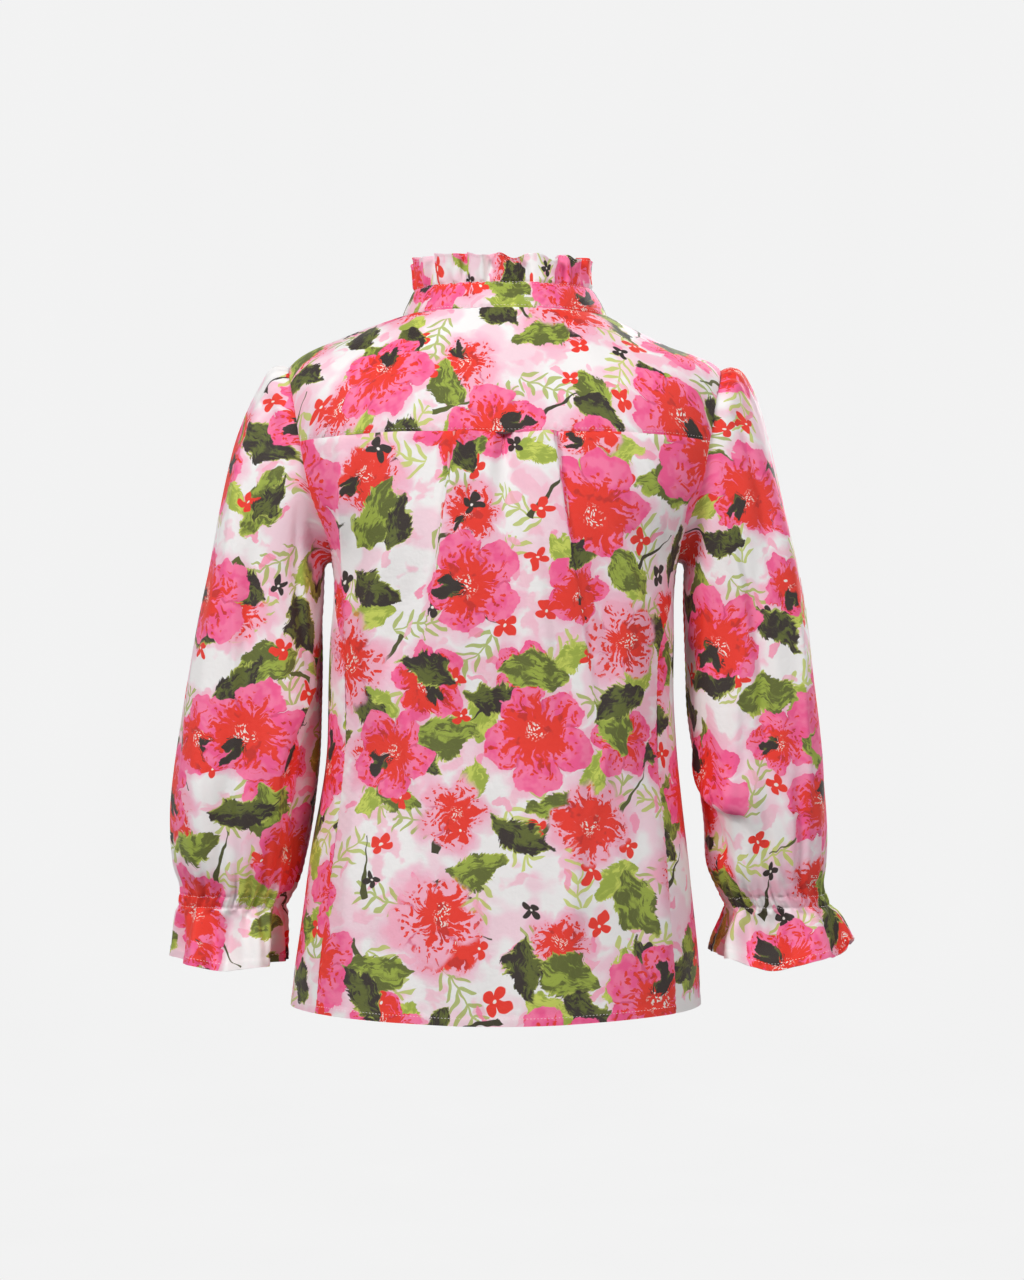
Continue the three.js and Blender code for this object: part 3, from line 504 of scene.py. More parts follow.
def bloomParts(n, place, cloud, layer, small, large, pale):
    c = printColours
    local, chance = n.scattered(place, *motifLayers[layer])
    size = n.maths("ADD", n.maths("MULTIPLY", chance[1], large - small), small)
    local = n.vectors("DIVIDE", local, n.join(size, size, size))
    reach = n.vectors("LENGTH", local, output=1)
    u, v, _ = n.split(local)
    turn = n.maths("ARCTAN2", v, u)
    petal = n.maths("ABSOLUTE", n.maths("COSINE", n.maths("MULTIPLY", turn, 2.5)))
    lobes = n.maths("MULTIPLY", n.maths("SINE", n.maths("ADD", turn, n.maths("MULTIPLY", chance[1], 9.0))), 0.09)
    edge = n.maths("ADD", n.maths("ADD", n.maths("MULTIPLY", n.maths("POWER", petal, 0.5), 0.36), 0.62), lobes)
    inside = n.maths("SUBTRACT", edge, reach)
    faint = n.maths("LESS_THAN", chance[2], pale)
    bleed = n.maths("MULTIPLY", n.ramp(inside, -0.24, 0.02), 0.75)  # wet paint runs out round the petals
    rays = n.join(n.maths("MULTIPLY", n.maths("COSINE", turn), 5.0), n.maths("MULTIPLY", n.maths("SINE", turn), 5.0),
                  n.maths("MULTIPLY", reach, 1.6))
    streak = n.noise(rays, 0.95, 2.0, 0.6, space="3D")
    body = n.mix(n.ramp(cloud, 0.36, 0.60), c["hotPink"], c["pink"])
    body = n.mix(n.maths("MULTIPLY", faint, 0.82), body, c["paleBloom"])
    between = n.maths("MULTIPLY", n.ramp(petal, 0.22, 0.03), n.ramp(reach, 0.3, 0.5))
    body = n.mix(n.maths("MULTIPLY", between, 0.65), body, c["deepPink"])
    heart = n.vectors("SUBTRACT", local, (0.10, 0.07, 0.0))
    near = n.vectors("LENGTH", heart, output=1)
    ragged = n.maths("ADD", near, n.maths("MULTIPLY", n.maths("SUBTRACT", streak, 0.5), 1.2))
    painted = n.maths("ADD", n.maths("MULTIPLY", chance[0], 0.22), 0.42)
    dabs = n.cells(n.vectors("MULTIPLY", local, (8.0, 8.0, 0.0)), 1.0, 1.0)
    dab = n.maths("MULTIPLY", n.ramp(dabs["Distance"], 0.31, 0.24), n.ramp(ragged, 0.86, 0.70))
    red = n.maths("MAXIMUM", n.ramp(n.maths("SUBTRACT", ragged, painted), 0.03, -0.03),
                  n.maths("MULTIPLY", dab, n.ramp(near, 0.25, 0.4)))
    body = n.mix(red, body, n.mix(n.ramp(cloud, 0.40, 0.30, 0.0, 0.6), c["red"], c["darkRed"]))
    fleckPlace = n.cells(n.vectors("MULTIPLY", local, (19.0, 19.0, 0.0)), 1.0, 1.0)
    fleck = n.maths("MULTIPLY", n.ramp(fleckPlace["Distance"], 0.36, 0.26), n.ramp(near, 0.24, 0.12))
    fleck = n.maths("MULTIPLY", fleck, n.maths("GREATER_THAN", n.split(fleckPlace["Color"])[0], 0.35))
    body = n.mix(fleck, body, c["cream"])
    shade = n.maths("ADD", n.maths("POWER", n.maths("DIVIDE", n.maths("SUBTRACT", u, 0.44), 0.28), 2.0),
                    n.maths("POWER", n.maths("DIVIDE", v, 0.2), 2.0))
    shade = n.maths("ADD", shade, n.maths("MULTIPLY", n.maths("SUBTRACT", streak, 0.5), 4.5))
    sepal = n.maths("MULTIPLY", n.ramp(shade, 0.95, 0.75), n.maths("GREATER_THAN", chance[2], 0.38))
    body = n.mix(sepal, body, n.mix(n.ramp(streak, 0.45, 0.62), c["brown"], c["olive"]))
    soft = n.maths("ADD", n.maths("MULTIPLY", faint, 0.16), 0.02)
    return {"bleed": bleed, "petals": n.ramp(inside, 0.0, soft), "colour": body}


def drawLeaf(n, colour, place, patch, layer, small, large, wide, dark, light, keep):
    local, chance = n.scattered(place, *motifLayers[layer])
    size = n.maths("ADD", n.maths("MULTIPLY", chance[1], large - small), small)
    local = n.vectors("DIVIDE", local, n.join(size, size, size))
    u, v, _ = n.split(local)
    v = n.maths("ADD", v, n.maths("MULTIPLY", n.maths("MULTIPLY", u, u), 0.18))
    across = n.maths("ABSOLUTE", v)
    body = n.maths("SUBTRACT", 1.0, n.maths("MULTIPLY", u, u))
    half = n.maths("MULTIPLY", body, n.maths("SUBTRACT", wide, n.maths("MULTIPLY", u, 0.16)))
    teeth = n.maths("FRACT", n.maths("MULTIPLY", n.maths("SUBTRACT", u, n.maths("MULTIPLY", across, 0.5)), 5.5))
    half = n.maths("ADD", half, n.maths("MULTIPLY", n.maths("MULTIPLY", teeth, body), 0.09))
    mask = n.ramp(n.maths("SUBTRACT", half, across), 0.0, 0.04)
    mask = n.maths("MULTIPLY", mask, n.maths("LESS_THAN", chance[2], keep))
    brush = n.noise(n.vectors("MULTIPLY", local, (2.2, 9.0, 1.0)), 1.0, 2.0, 0.7)
    darkSide = n.maths("MULTIPLY", n.ramp(v, -0.02, 0.06), 0.16)
    tint = n.ramp(n.maths("SUBTRACT", n.maths("ADD", brush, patch), darkSide), 0.86, 1.06)
    body = n.mix(tint, dark, light)
    slant = n.maths("FRACT", n.maths("MULTIPLY", n.maths("SUBTRACT", u, n.maths("MULTIPLY", across, 0.9)), 4.0))
    veins = n.maths("MAXIMUM", n.ramp(across, 0.035, 0.015), n.maths("MULTIPLY", n.ramp(slant, 0.10, 0.03), 0.6))
    body = n.mix(n.maths("MULTIPLY", veins, 0.55), body, n.mix(0.35, dark, light))
    rim = n.maths("MULTIPLY", n.ramp(n.maths("SUBTRACT", half, across), 0.10, 0.03), n.ramp(patch, 0.42, 0.55))
    body = n.mix(n.maths("MULTIPLY", rim, 0.8), body, printColours["lime"])
    return n.mix(mask, colour, body)


def drawSprig(n, colour, place):
    local, chance = n.scattered(place, *motifLayers["sprigs"])
    u, v, _ = n.split(local)
    bend = n.maths("MULTIPLY", n.maths("SINE", n.maths("DIVIDE", u, 12.0)), 4.0)
    away = n.maths("ABSOLUTE", n.maths("SUBTRACT", v, bend))
    stem = n.ramp(away, 1.1, 0.7)
    slant = n.maths("SUBTRACT", u, n.maths("MULTIPLY", away, 0.9))
    step = n.maths("SUBTRACT", n.maths("WRAP", slant, 11.0, 0.0), 5.5)
    leaflet = n.maths("ADD", n.maths("POWER", n.maths("DIVIDE", step, 2.4), 2.0),
                      n.maths("POWER", n.maths("DIVIDE", n.maths("SUBTRACT", away, 6.5), 6.5), 2.0))
    mask = n.maths("MAXIMUM", stem, n.ramp(leaflet, 1.05, 0.8))
    mask = n.maths("MULTIPLY", mask, n.maths("LESS_THAN", n.maths("ABSOLUTE", u), 26.0))
    return n.mix(n.maths("MULTIPLY", mask, 0.85), colour, n.mix(chance[2], printColours["lime"], printColours["leafLight"]))


def drawTwig(n, colour, place):
    local, chance = n.scattered(place, *motifLayers["twigs"])
    u, v, _ = n.split(local)
    bend = n.maths("MULTIPLY", n.maths("SINE", n.maths("DIVIDE", u, 15.0)), 5.0)
    away = n.maths("ABSOLUTE", n.maths("SUBTRACT", v, bend))
    thick = n.maths("ADD", n.maths("DIVIDE", n.maths("ABSOLUTE", n.maths("ADD", u, 20.0)), 18.0), 0.6)
    mask = n.maths("MULTIPLY", n.ramp(n.maths("SUBTRACT", thick, away), 0.0, 0.4),
                   n.maths("LESS_THAN", n.maths("ABSOLUTE", u), 25.0))
    mask = n.maths("MULTIPLY", mask, n.maths("GREATER_THAN", chance[2], 0.4))
    return n.mix(mask, colour, n.mix(chance[1], printColours["brown"], printColours["olive"]))


def drawPetal(n, colour, place):
    local, chance = n.scattered(place, *motifLayers["petals"])
    u, v, _ = n.split(local)
    shape = n.maths("ADD", n.maths("POWER", n.maths("DIVIDE", u, 8.0), 2.0), n.maths("POWER", n.maths("DIVIDE", v, 3.2), 2.0))
    mask = n.maths("MULTIPLY", n.ramp(shape, 1.05, 0.7), n.maths("GREATER_THAN", chance[2], 0.55))
    return n.mix(n.maths("MULTIPLY", mask, 0.8), colour, n.mix(chance[1], printColours["pink"], printColours["paleBloom"]))


def drawBlossom(n, colour, place):
    c = printColours
    local, chance = n.scattered(place, *motifLayers["blossoms"])
    size = n.maths("ADD", n.maths("MULTIPLY", chance[1], 3.5), 8.5)
    reach = n.maths("DIVIDE", n.vectors("LENGTH", local, output=1), size)
    u, v, _ = n.split(local)
    turn = n.maths("ARCTAN2", v, u)
    petal = n.maths("ABSOLUTE", n.maths("COSINE", n.maths("MULTIPLY", turn, 2.0)))
    edge = n.maths("ADD", n.maths("MULTIPLY", petal, 0.62), 0.38)
    mask = n.ramp(n.maths("SUBTRACT", edge, reach), 0.0, 0.08)
    mask = n.maths("MULTIPLY", mask, n.maths("GREATER_THAN", chance[2], 0.5))
    body = n.mix(n.maths("LESS_THAN", chance[1], 0.22), c["red"], c["brown"])
    body = n.mix(n.ramp(reach, 0.16, 0.10), body, c["cream"])
    return n.mix(mask, colour, body)


def printGroup():
    # The whole print as one group, shared by the cloth's face and its paler back
    tree = bpy.data.node_groups.new("watercolour floral", "ShaderNodeTree")
    tree.interface.new_socket("Colour", in_out="OUTPUT", socket_type="NodeSocketColor")
    tree.interface.new_socket("Cloth", in_out="OUTPUT", socket_type="NodeSocketVector")
    n = NodeMaker(tree)
    c = printColours
    cloth = n.node("ShaderNodeAttribute", {}, attribute_name="cloth").outputs["Vector"]
    _, _, seed = n.split(cloth)
    place = n.vectors("ADD", cloth, n.scaled(n.join(seed, n.maths("MULTIPLY", seed, 0.63)), 311.0))
    place = n.vectors("MULTIPLY", place, (1.0, 1.0, 0.0))
    wander = n.vectors("SUBTRACT", n.noise(place, 17, 1.0, 0.5, output=1), (0.5, 0.5, 0.5))
    fray = n.vectors("SUBTRACT", n.noise(place, 3.4, 2.0, 0.65, output=1), (0.5, 0.5, 0.5))
    drawn = n.vectors("ADD", place, n.vectors("ADD", n.scaled(wander, 15.0), n.scaled(fray, 2.8)))
    cloud = n.noise(place, 46, 2.0, 0.55)
    mottle = n.noise(place, 15, 2.0, 0.6)
    colour = n.mix(n.ramp(cloud, 0.47, 0.61, 0.0, 0.95), c["ground"], c["wash"])
    colour = n.mix(n.ramp(n.noise(drawn, 30, 2.0, 0.6), 0.57, 0.66, 0.0, 0.75), colour, c["paleBloom"])
    midBlooms = bloomParts(n, drawn, mottle, "midBlooms", 28, 37, 0.6)
    bigBlooms = bloomParts(n, drawn, mottle, "bigBlooms", 40, 48, 0.15)
    for bloom in (midBlooms, bigBlooms):
        colour = n.mix(bloom["bleed"], colour, c["deepWash"])
    steady = n.vectors("ADD", place, n.scaled(wander, 9.0))
    colour = drawSprig(n, colour, steady)
    colour = drawPetal(n, colour, drawn)
    colour = drawLeaf(n, colour, drawn, mottle, "lightLeaves", 22, 30, 0.44, c["leafLight"], c["lime"], 0.6)
    colour = drawTwig(n, colour, steady)
    colour = n.mix(midBlooms["petals"], colour, midBlooms["colour"])
    colour = drawLeaf(n, colour, drawn, mottle, "greenLeaves", 26, 34, 0.52, c["olive"], c["leafLight"], 0.75)
    colour = drawBlossom(n, colour, steady)
    colour = drawLeaf(n, colour, drawn, mottle, "darkLeaves", 24, 32, 0.42, c["brown"], c["olive"], 0.78)
    colour = n.mix(bigBlooms["petals"], colour, bigBlooms["colour"])
    out = n.node("NodeGroupOutput", {})
    n.feed(out.inputs["Colour"], colour)
    n.feed(out.inputs["Cloth"], cloth)
    return tree


clothLook = {"roughness": 0.6, "sheen": 0.05, "weavePitch": 0.42, "weaveDepth": 0.05, "crinkleDepth": 0.35}


def clothMaterial(name, group, fade):
    material = bpy.data.materials.new(name)
    material.use_nodes = True
    n = NodeMaker(material.node_tree)
    surface = material.node_tree.nodes["Principled BSDF"]
    drawing = n.node("ShaderNodeGroup", {}, node_tree=group)
    place = drawing.outputs["Cloth"]
    p, q, _ = n.split(place)
    threads = []
    for along in (p, q):
        threads.append(n.maths("SINE", n.maths("MULTIPLY", along, 2 * math.pi / clothLook["weavePitch"])))
    weave = n.maths("MULTIPLY", n.maths("ADD", *threads), clothLook["weaveDepth"] * 0.25)
    crinkle = n.noise(place, 5.0, 2.0, 0.6)
    height = n.maths("ADD", weave, n.maths("MULTIPLY", crinkle, clothLook["crinkleDepth"]))
    bump = n.node("ShaderNodeBump", {"Height": height, "Distance": mm, "Strength": 1.0})
    colour = n.mix(fade, drawing.outputs["Colour"], linear("f6e9ea"))
    thread = n.maths("MULTIPLY", n.maths("ADD", *threads), 0.02)
    colour = n.mix(n.maths("ADD", thread, 0.01), colour, linear("ffffff"))
    n.feed(surface.inputs["Base Color"], colour)
    n.feed(surface.inputs["Normal"], bump.outputs[0])
    rough = n.maths("ADD", n.maths("MULTIPLY", crinkle, 0.12), clothLook["roughness"] - 0.06)
    n.feed(surface.inputs["Roughness"], rough)
    surface.inputs["Sheen Weight"].default_value = clothLook["sheen"]
    surface.inputs["Sheen Roughness"].default_value = 0.5
    surface.inputs["Specular IOR Level"].default_value = 0.22
    return material


def threadMaterial():
    material = bpy.data.materials.new("sewing thread")
    material.use_nodes = True
    n = NodeMaker(material.node_tree)
    surface = material.node_tree.nodes["Principled BSDF"]
    place = n.node("ShaderNodeTexCoord", {}).outputs["Object"]
    twist = n.noise(place, 0.0006, 2.0, 0.6, space="3D")
    n.feed(surface.inputs["Base Color"], n.mix(twist, linear("f6dde3"), linear("ffffff")))
    n.feed(surface.inputs["Normal"], n.node("ShaderNodeBump", {"Height": twist, "Distance": 0.0001}).outputs[0])
    surface.inputs["Roughness"].default_value = 0.6
    surface.inputs["Sheen Weight"].default_value = 0.3
    return material


def buttonMaterial():
    material = bpy.data.materials.new("pearly button")
    material.use_nodes = True
    n = NodeMaker(material.node_tree)
    surface = material.node_tree.nodes["Principled BSDF"]
    place = n.node("ShaderNodeTexCoord", {}).outputs["Object"]
    swirl = n.noise(place, 0.006, 3.0, 0.6, space="3D")
    n.feed(surface.inputs["Base Color"], n.mix(swirl, linear("e9dcd2"), linear("fdf8f2")))
    n.feed(surface.inputs["Roughness"], n.maths("ADD", n.maths("MULTIPLY", swirl, 0.15), 0.2))
    n.feed(surface.inputs["Normal"], n.node("ShaderNodeBump", {"Height": swirl, "Distance": 0.0001}).outputs[0])
    surface.inputs["Coat Weight"].default_value = 0.4
    return material


floral = printGroup()
clothFace = clothMaterial("printed cotton", floral, 0.0)
clothBack = clothMaterial("printed cotton reverse", floral, 0.42)
sewingThread = threadMaterial()
pearl = buttonMaterial()
print("materials made")


def dress(piece, nodes, materials):
    for material in materials:
        piece.data.materials.append(material)
    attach(piece, "root")
    if nodes:
        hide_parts(*nodes)
    return piece


def dressCloth(piece, node, points):
    dress(piece, [node], [clothFace, clothBack])
    width = np.linalg.norm(np.diff(points, axis=1), axis=2).sum(axis=1).max()
    length = np.linalg.norm(np.diff(points, axis=0), axis=2).sum(axis=0).max()
    print(f"{piece.name}: {width:.0f} x {length:.0f} mm on the cloth, {layerArea(points):.4f} m2")


# Sewing: each stitch is a small spindle of thread lying on the cloth

stitchRows = {"hem": [], "seams": [], "front": [], "cuffs": []}


def lineOnGrid(points, edge, away):
    # The line on the cloth that keeps a distance from one edge, and its normals
    normals = gridNormals(points)
    if edge in ("left", "right"):
        points = points.transpose(1, 0, 2)
        normals = normals.transpose(1, 0, 2)
    if edge in ("bottom", "right"):
        points = points[::-1]
        normals = normals[::-1]
    steps = np.linalg.norm(np.diff(points[:40], axis=0), axis=2)
    reach = np.concatenate([np.zeros((1, points.shape[1])), np.cumsum(steps, axis=0)])
    k = np.clip((reach < away).sum(axis=0) - 1, 0, len(reach) - 2)
    column = np.arange(points.shape[1])
    t = ((away - reach[k, column]) / (reach[k + 1, column] - reach[k, column]))[:, None]
    return lerp(points[k, column], points[k + 1, column], t), lerp(normals[k, column], normals[k + 1, column], t)


def addStitches(group, line, normals, pitch=3.0, length=2.1, lift=0.12, across=False):
    steps = np.linalg.norm(np.diff(line, axis=0), axis=1)
    reach = np.concatenate([[0], np.cumsum(steps)])
    middles = np.arange(pitch, reach[-1] - pitch, pitch)

    def at(places, values):
        return np.stack([np.interp(places, reach, values[:, k]) for k in range(3)], axis=-1)

    middle = at(middles, line)
    normal = unit(at(middles, normals))
    along = unit(at(middles + 0.5, line) - at(middles - 0.5, line))
    if across:
        along = np.cross(normal, along)
    stitchRows[group].append((middle + normal * lift, along, normal, length))


def sewStitches(name, group, thick=0.2):
    points = []
    faces = []
    for middle, along, normal, length in stitchRows[group]:
        side = np.cross(along, normal)
        for m, a, n, s in zip(middle, along, normal, side):
            first = len(points)
            for place, fat, sunk in ((-0.5, 0.35, 0.25), (0.0, 1.0, 0.0), (0.5, 0.35, 0.25)):
                ring = m + a * length * place - n * sunk
                points += [ring + s * thick * fat, ring + n * thick * fat, ring - s * thick * fat, ring - n * thick * fat]
            for k in range(2):
                for i in range(4):
                    a0 = first + 4 * k + i
                    a1 = first + 4 * k + (i + 1) % 4
                    faces.append([a0, a1, a1 + 4, a0 + 4])
            faces.append([first + 3, first + 2, first + 1, first])
            faces.append([first + 8, first + 9, first + 10, first + 11])
    piece = makeMesh(name, np.array(points), faces, [0] * len(faces))
    dress(piece, [], [sewingThread])
    return piece


# The body panels

yokePiece = {"flat": (0.52, 0.30), "area": 0.062, "held": "hung", "wrinkle": 0.35, "wrinkleSize": 46}
backPiece = {"flat": (0.47, 0.56), "area": 0.19, "held": "hung", "wrinkle": 0.55, "wrinkleSize": 60}
frontPiece = {"flat": (0.34, 0.665), "area": 0.165, "held": "hung", "wrinkle": 0.5, "wrinkleSize": 60}
placketPiece = {"flat": (0.028, 0.545), "held": "hung", "offset": 1.8 + 1.2 + 0.6, "halfWidth": 14, "top": 3}
lap = {"offset": 1.8, "rampStart": 30, "rampEnd": 48}


def bodyCloth(angle, run, creases, piece, seed, offset=0.0, pleated=False):
    base = bodyPoints(angle, run)
    height = offset + bodyFoldHeight(base, run) + creaseHeight(base[..., 0], run, creases)
    if pleated:
        height = height + pleatHeight(base[..., 0], np.maximum(0, run - yokeRunAt(angle)))
    p = np.interp(angle, lengthAngles, lengthRound)
    height = height + piece["wrinkle"] * softNoise(p, 0.6 * run, seed, piece["wrinkleSize"])
    return base + bodyNormals(angle, run) * height[..., None], p


def finishEdges(points, seams, hem=False):
    away = dict(zip(("top", "bottom", "left", "right"), edgeDistances(points)))
    along = {"top": away["left"], "bottom": away["left"], "left": away["top"], "right": away["top"]}
    height = np.zeros(points.shape[:2])
    for k, edge in enumerate(seams):
        height += seamHeight(away[edge], along[edge], k)
    if hem:
        height += hemHeight(away["bottom"])
    return points + gridNormals(points) * height[..., None]


def makeYoke():
    columns = fineSteps((2 * yokeArmSteps + backColumns, 6))
    rows = fineSteps((yokeFrontRows, 14))
    count = columns[-1]
    leftArm = armholeAt(lerp(-frontSeamShare, yokeCornerShare, columns / yokeArmSteps))
    rightArm = mirrored(armholeAt(lerp(-frontSeamShare, yokeCornerShare, (count - columns) / yokeArmSteps)))
    angle = lerp(yokeCorner[0], math.pi - yokeCorner[0], (columns - yokeArmSteps) / backColumns)
    bottom = joined(columns < yokeArmSteps, leftArm, (angle, yokeRunAt(angle)))
    bottom = joined(columns > count - yokeArmSteps, rightArm, bottom)
    top = (yokeFrontNeckAngle + (math.pi - 2 * yokeFrontNeckAngle) * columns / count, np.zeros_like(columns))
    left = yokeFrontSeamAt(rows / rows[-1])
    angle, run = fillPanel(top, bottom, left, mirrored(left), columns / count, rows / rows[-1])
    points, _ = bodyCloth(angle, run, backCreases[:0], yokePiece, 11)
    points = finishEdges(points, ("top", "bottom", "left", "right"))
    slope = 2 - 0.42 * np.maximum(0, np.abs(points[..., 0]) - 80)
    cloth = printPlace(points[..., 0] * 1.04, (points[..., 1] + slope - points[..., 2]) * 0.9, 1)
    piece = clothShell("yoke_cloth", points, cloth)
    dressCloth(piece, "yoke", points)
    inner = slice(6 * yokeArmSteps, 6 * (yokeArmSteps + backColumns) + 1)
    addStitches("seams", *lineOnGrid(points[:, inner], "bottom", 2.4))
    for edge in ("left", "right"):
        addStitches("seams", *lineOnGrid(points, edge, 2.4))


def makeBack():
    columns = fineSteps((backColumns, 5))
    rows = fineSteps((backArmSteps, 8), (lowerRows, 16))
    angle = lerp(yokeCorner[0], math.pi - yokeCorner[0], columns / backColumns)
    top = (angle, yokeRunAt(angle))
    bottom = (lerp(sideSeamAngle, math.pi - sideSeamAngle, columns / backColumns), np.full_like(columns, hemRun))
    armRows = armholeAt(lerp(yokeCornerShare, 1, np.minimum(rows / backArmSteps, 1)))
    left = joined(rows < backArmSteps, armRows, sideSeamAt(np.maximum(rows - backArmSteps, 0) / lowerRows))
    angle, run = fillPanel(top, bottom, left, mirrored(left), columns / backColumns, rows / rows[-1])
    upper = np.minimum(rows / backArmSteps, 1) ** 2
    lower = 1 - np.maximum(rows - backArmSteps, 0) / lowerRows
    run = run + backUnderarmDip * np.sin(math.pi * columns / backColumns)[None, :] * (upper * lower)[:, None]
    run = np.minimum(run, hemRun)
    points, p = bodyCloth(angle, run, backCreases, backPiece, 23, pleated=True)
    points = finishEdges(points, ("top", "left", "right"), hem=True)
    p = p + pleatTakeUp(points[..., 0], np.maximum(0, run - yokeRunAt(angle)))
    piece = clothShell("back_cloth", points, printPlace(p, run, 2))
    dressCloth(piece, "back", points)
    addStitches("hem", *lineOnGrid(points, "bottom", hemTurn["depth"] - 0.6))


def centreRunAt(row):
    upper = np.minimum(row / frontArmSteps, 1)
    lower = np.maximum(row - frontArmSteps, 0) / lowerRows
    return upper * frontUnderarmRun + lower * (hemRun - frontUnderarmRun)


def makeFront(name, node, right):
    columns = fineSteps((frontColumns, 8))
    rows = fineSteps((frontArmSteps, 9), (lowerRows, 10))
    centre = frontEdgeAt(-placketPiece["halfWidth"], centreRunAt(rows))
    neck = (lerp(centre[0][0], yokeFrontNeckAngle, columns / frontNeckColumns), np.zeros_like(columns))
    shoulder = yokeFrontSeamAt((columns - frontNeckColumns) / (frontColumns - frontNeckColumns))
    top = joined(columns <= frontNeckColumns, neck, shoulder)
    bottom = (lerp(centre[0][-1], sideSeamAngle, columns / frontColumns), np.full_like(columns, hemRun))
    armRows = armholeAt(lerp(-frontSeamShare, -1, np.minimum(rows / frontArmSteps, 1)))
    side = joined(rows < frontArmSteps, armRows, sideSeamAt(np.maximum(rows - frontArmSteps, 0) / lowerRows))
    angle, run = fillPanel(top, bottom, centre, side, columns / frontColumns, rows / rows[-1])
    run = np.clip(run, 0, hemRun)
    offset = 0.0
    if right:
        angle = math.pi - angle[:, ::-1]
        run = run[:, ::-1]
        x = -bodyPoints(angle, run)[..., 0]
        offset = lap["offset"] * (1 - smoothstep(x, lap["rampStart"], lap["rampEnd"]))
    points, p = bodyCloth(angle, run, frontCreases, frontPiece, 37 if right else 41, offset=offset)
    seams = ("top", "left") if right else ("top", "right")
    points = finishEdges(points, seams, hem=True)
    piece = clothShell(name, points, printPlace(p, run, 4 if right else 3))
    dressCloth(piece, node, points)
    addStitches("hem", *lineOnGrid(points, "bottom", hemTurn["depth"] - 0.6))


def makePlacket():
    columns = np.linspace(-placketPiece["halfWidth"], placketPiece["halfWidth"], 21)
    rows = fineSteps((frontArmSteps + lowerRows, 10))
    run = np.maximum(centreRunAt(rows), placketPiece["top"])[:, None] + np.zeros((1, len(columns)))
    angle, run = frontEdgeAt(np.broadcast_to(columns, run.shape), run)
    plain = dict(frontPiece, wrinkle=0.12)
    points, p = bodyCloth(angle, run, frontCreases[:0], plain, 41, offset=placketPiece["offset"])
    edge = placketPiece["halfWidth"] - np.abs(columns)
    roll = -0.35 * np.exp(-(edge / 1.2) ** 2)
    points = points + gridNormals(points) * roll[None, :, None]
    piece = clothShell("placket_cloth", points, printPlace(p, run, 5))
    dressCloth(piece, "placket", points)
    for edge in ("left", "right"):
        addStitches("front", *lineOnGrid(points, edge, 2.0))


makeYoke()
makeBack()
makeFront("front_left_cloth", "front_left", right=False)
makeFront("front_right_cloth", "front_right", right=True)
makePlacket()
print("body panels made")

# The collar: a stand round the neck and a gathered ruffle above it

standPiece = {"flat": (0.60, 0.028), "held": "hung", "columns": 560, "rows": 20, "rampStart": 225, "rampEnd": 245}
rufflePiece = {
    "flat": (0.64, 0.026), "held": "gathered", "columns": 760, "rows": 26, "waves": 14, "waveHeight": 5.8,
    "topRise": 2.4, "edgeRise": 3.2, "endGap": 7, "gathers": 44, "gatherHeight": 1.1, "lift": -1.6, "inset": 0.9, "roll": 0.5,
}


def collarPoints(lower, upper, angle, share, offset):
    low = ringPoints(lower, angle)
    high = ringPoints(upper, angle)
    around = ringPoints(upper, angle + angleStep) - ringPoints(upper, angle - angleStep)
    normal = unit(np.cross(low - high, around))
    return lerp(low, high, share[..., None]) + normal * np.asarray(offset)[..., None]


def makeStand():
    start = frontEdgeAt(-placketPiece["halfWidth"], np.zeros(1))[0][0]
    angle = np.linspace(start, math.pi - start, standPiece["columns"] + 1)[None, :]
    share = (1 - np.linspace(0, 1, standPiece["rows"] + 1))[:, None]
    angle, share = np.broadcast_arrays(angle, share)
    ride = lap["offset"] * smoothstep(angle, standPiece["rampStart"] * deg, standPiece["rampEnd"] * deg)
    bulge = 0.7 * np.sin(math.pi * share)
    points = collarPoints(neckRing, standTopRing, angle, share, ride + bulge)
    p = np.interp(np.mod(angle + 0.5 * math.pi, 2 * math.pi) - 0.5 * math.pi, lengthAngles, lengthRound) * 0.55
    points = points + gridNormals(points) * (0.15 * softNoise(p, share * 26, 5, 18))[..., None]
    points = finishEdges(points, ("top", "bottom"))
    piece = clothShell("stand_cloth", points, printPlace(angle * 78, -26 * share, 6))
    dressCloth(piece, "collar_stand", points)
    for edge in ("top", "bottom"):
        addStitches("seams", *lineOnGrid(points, edge, 2.0))


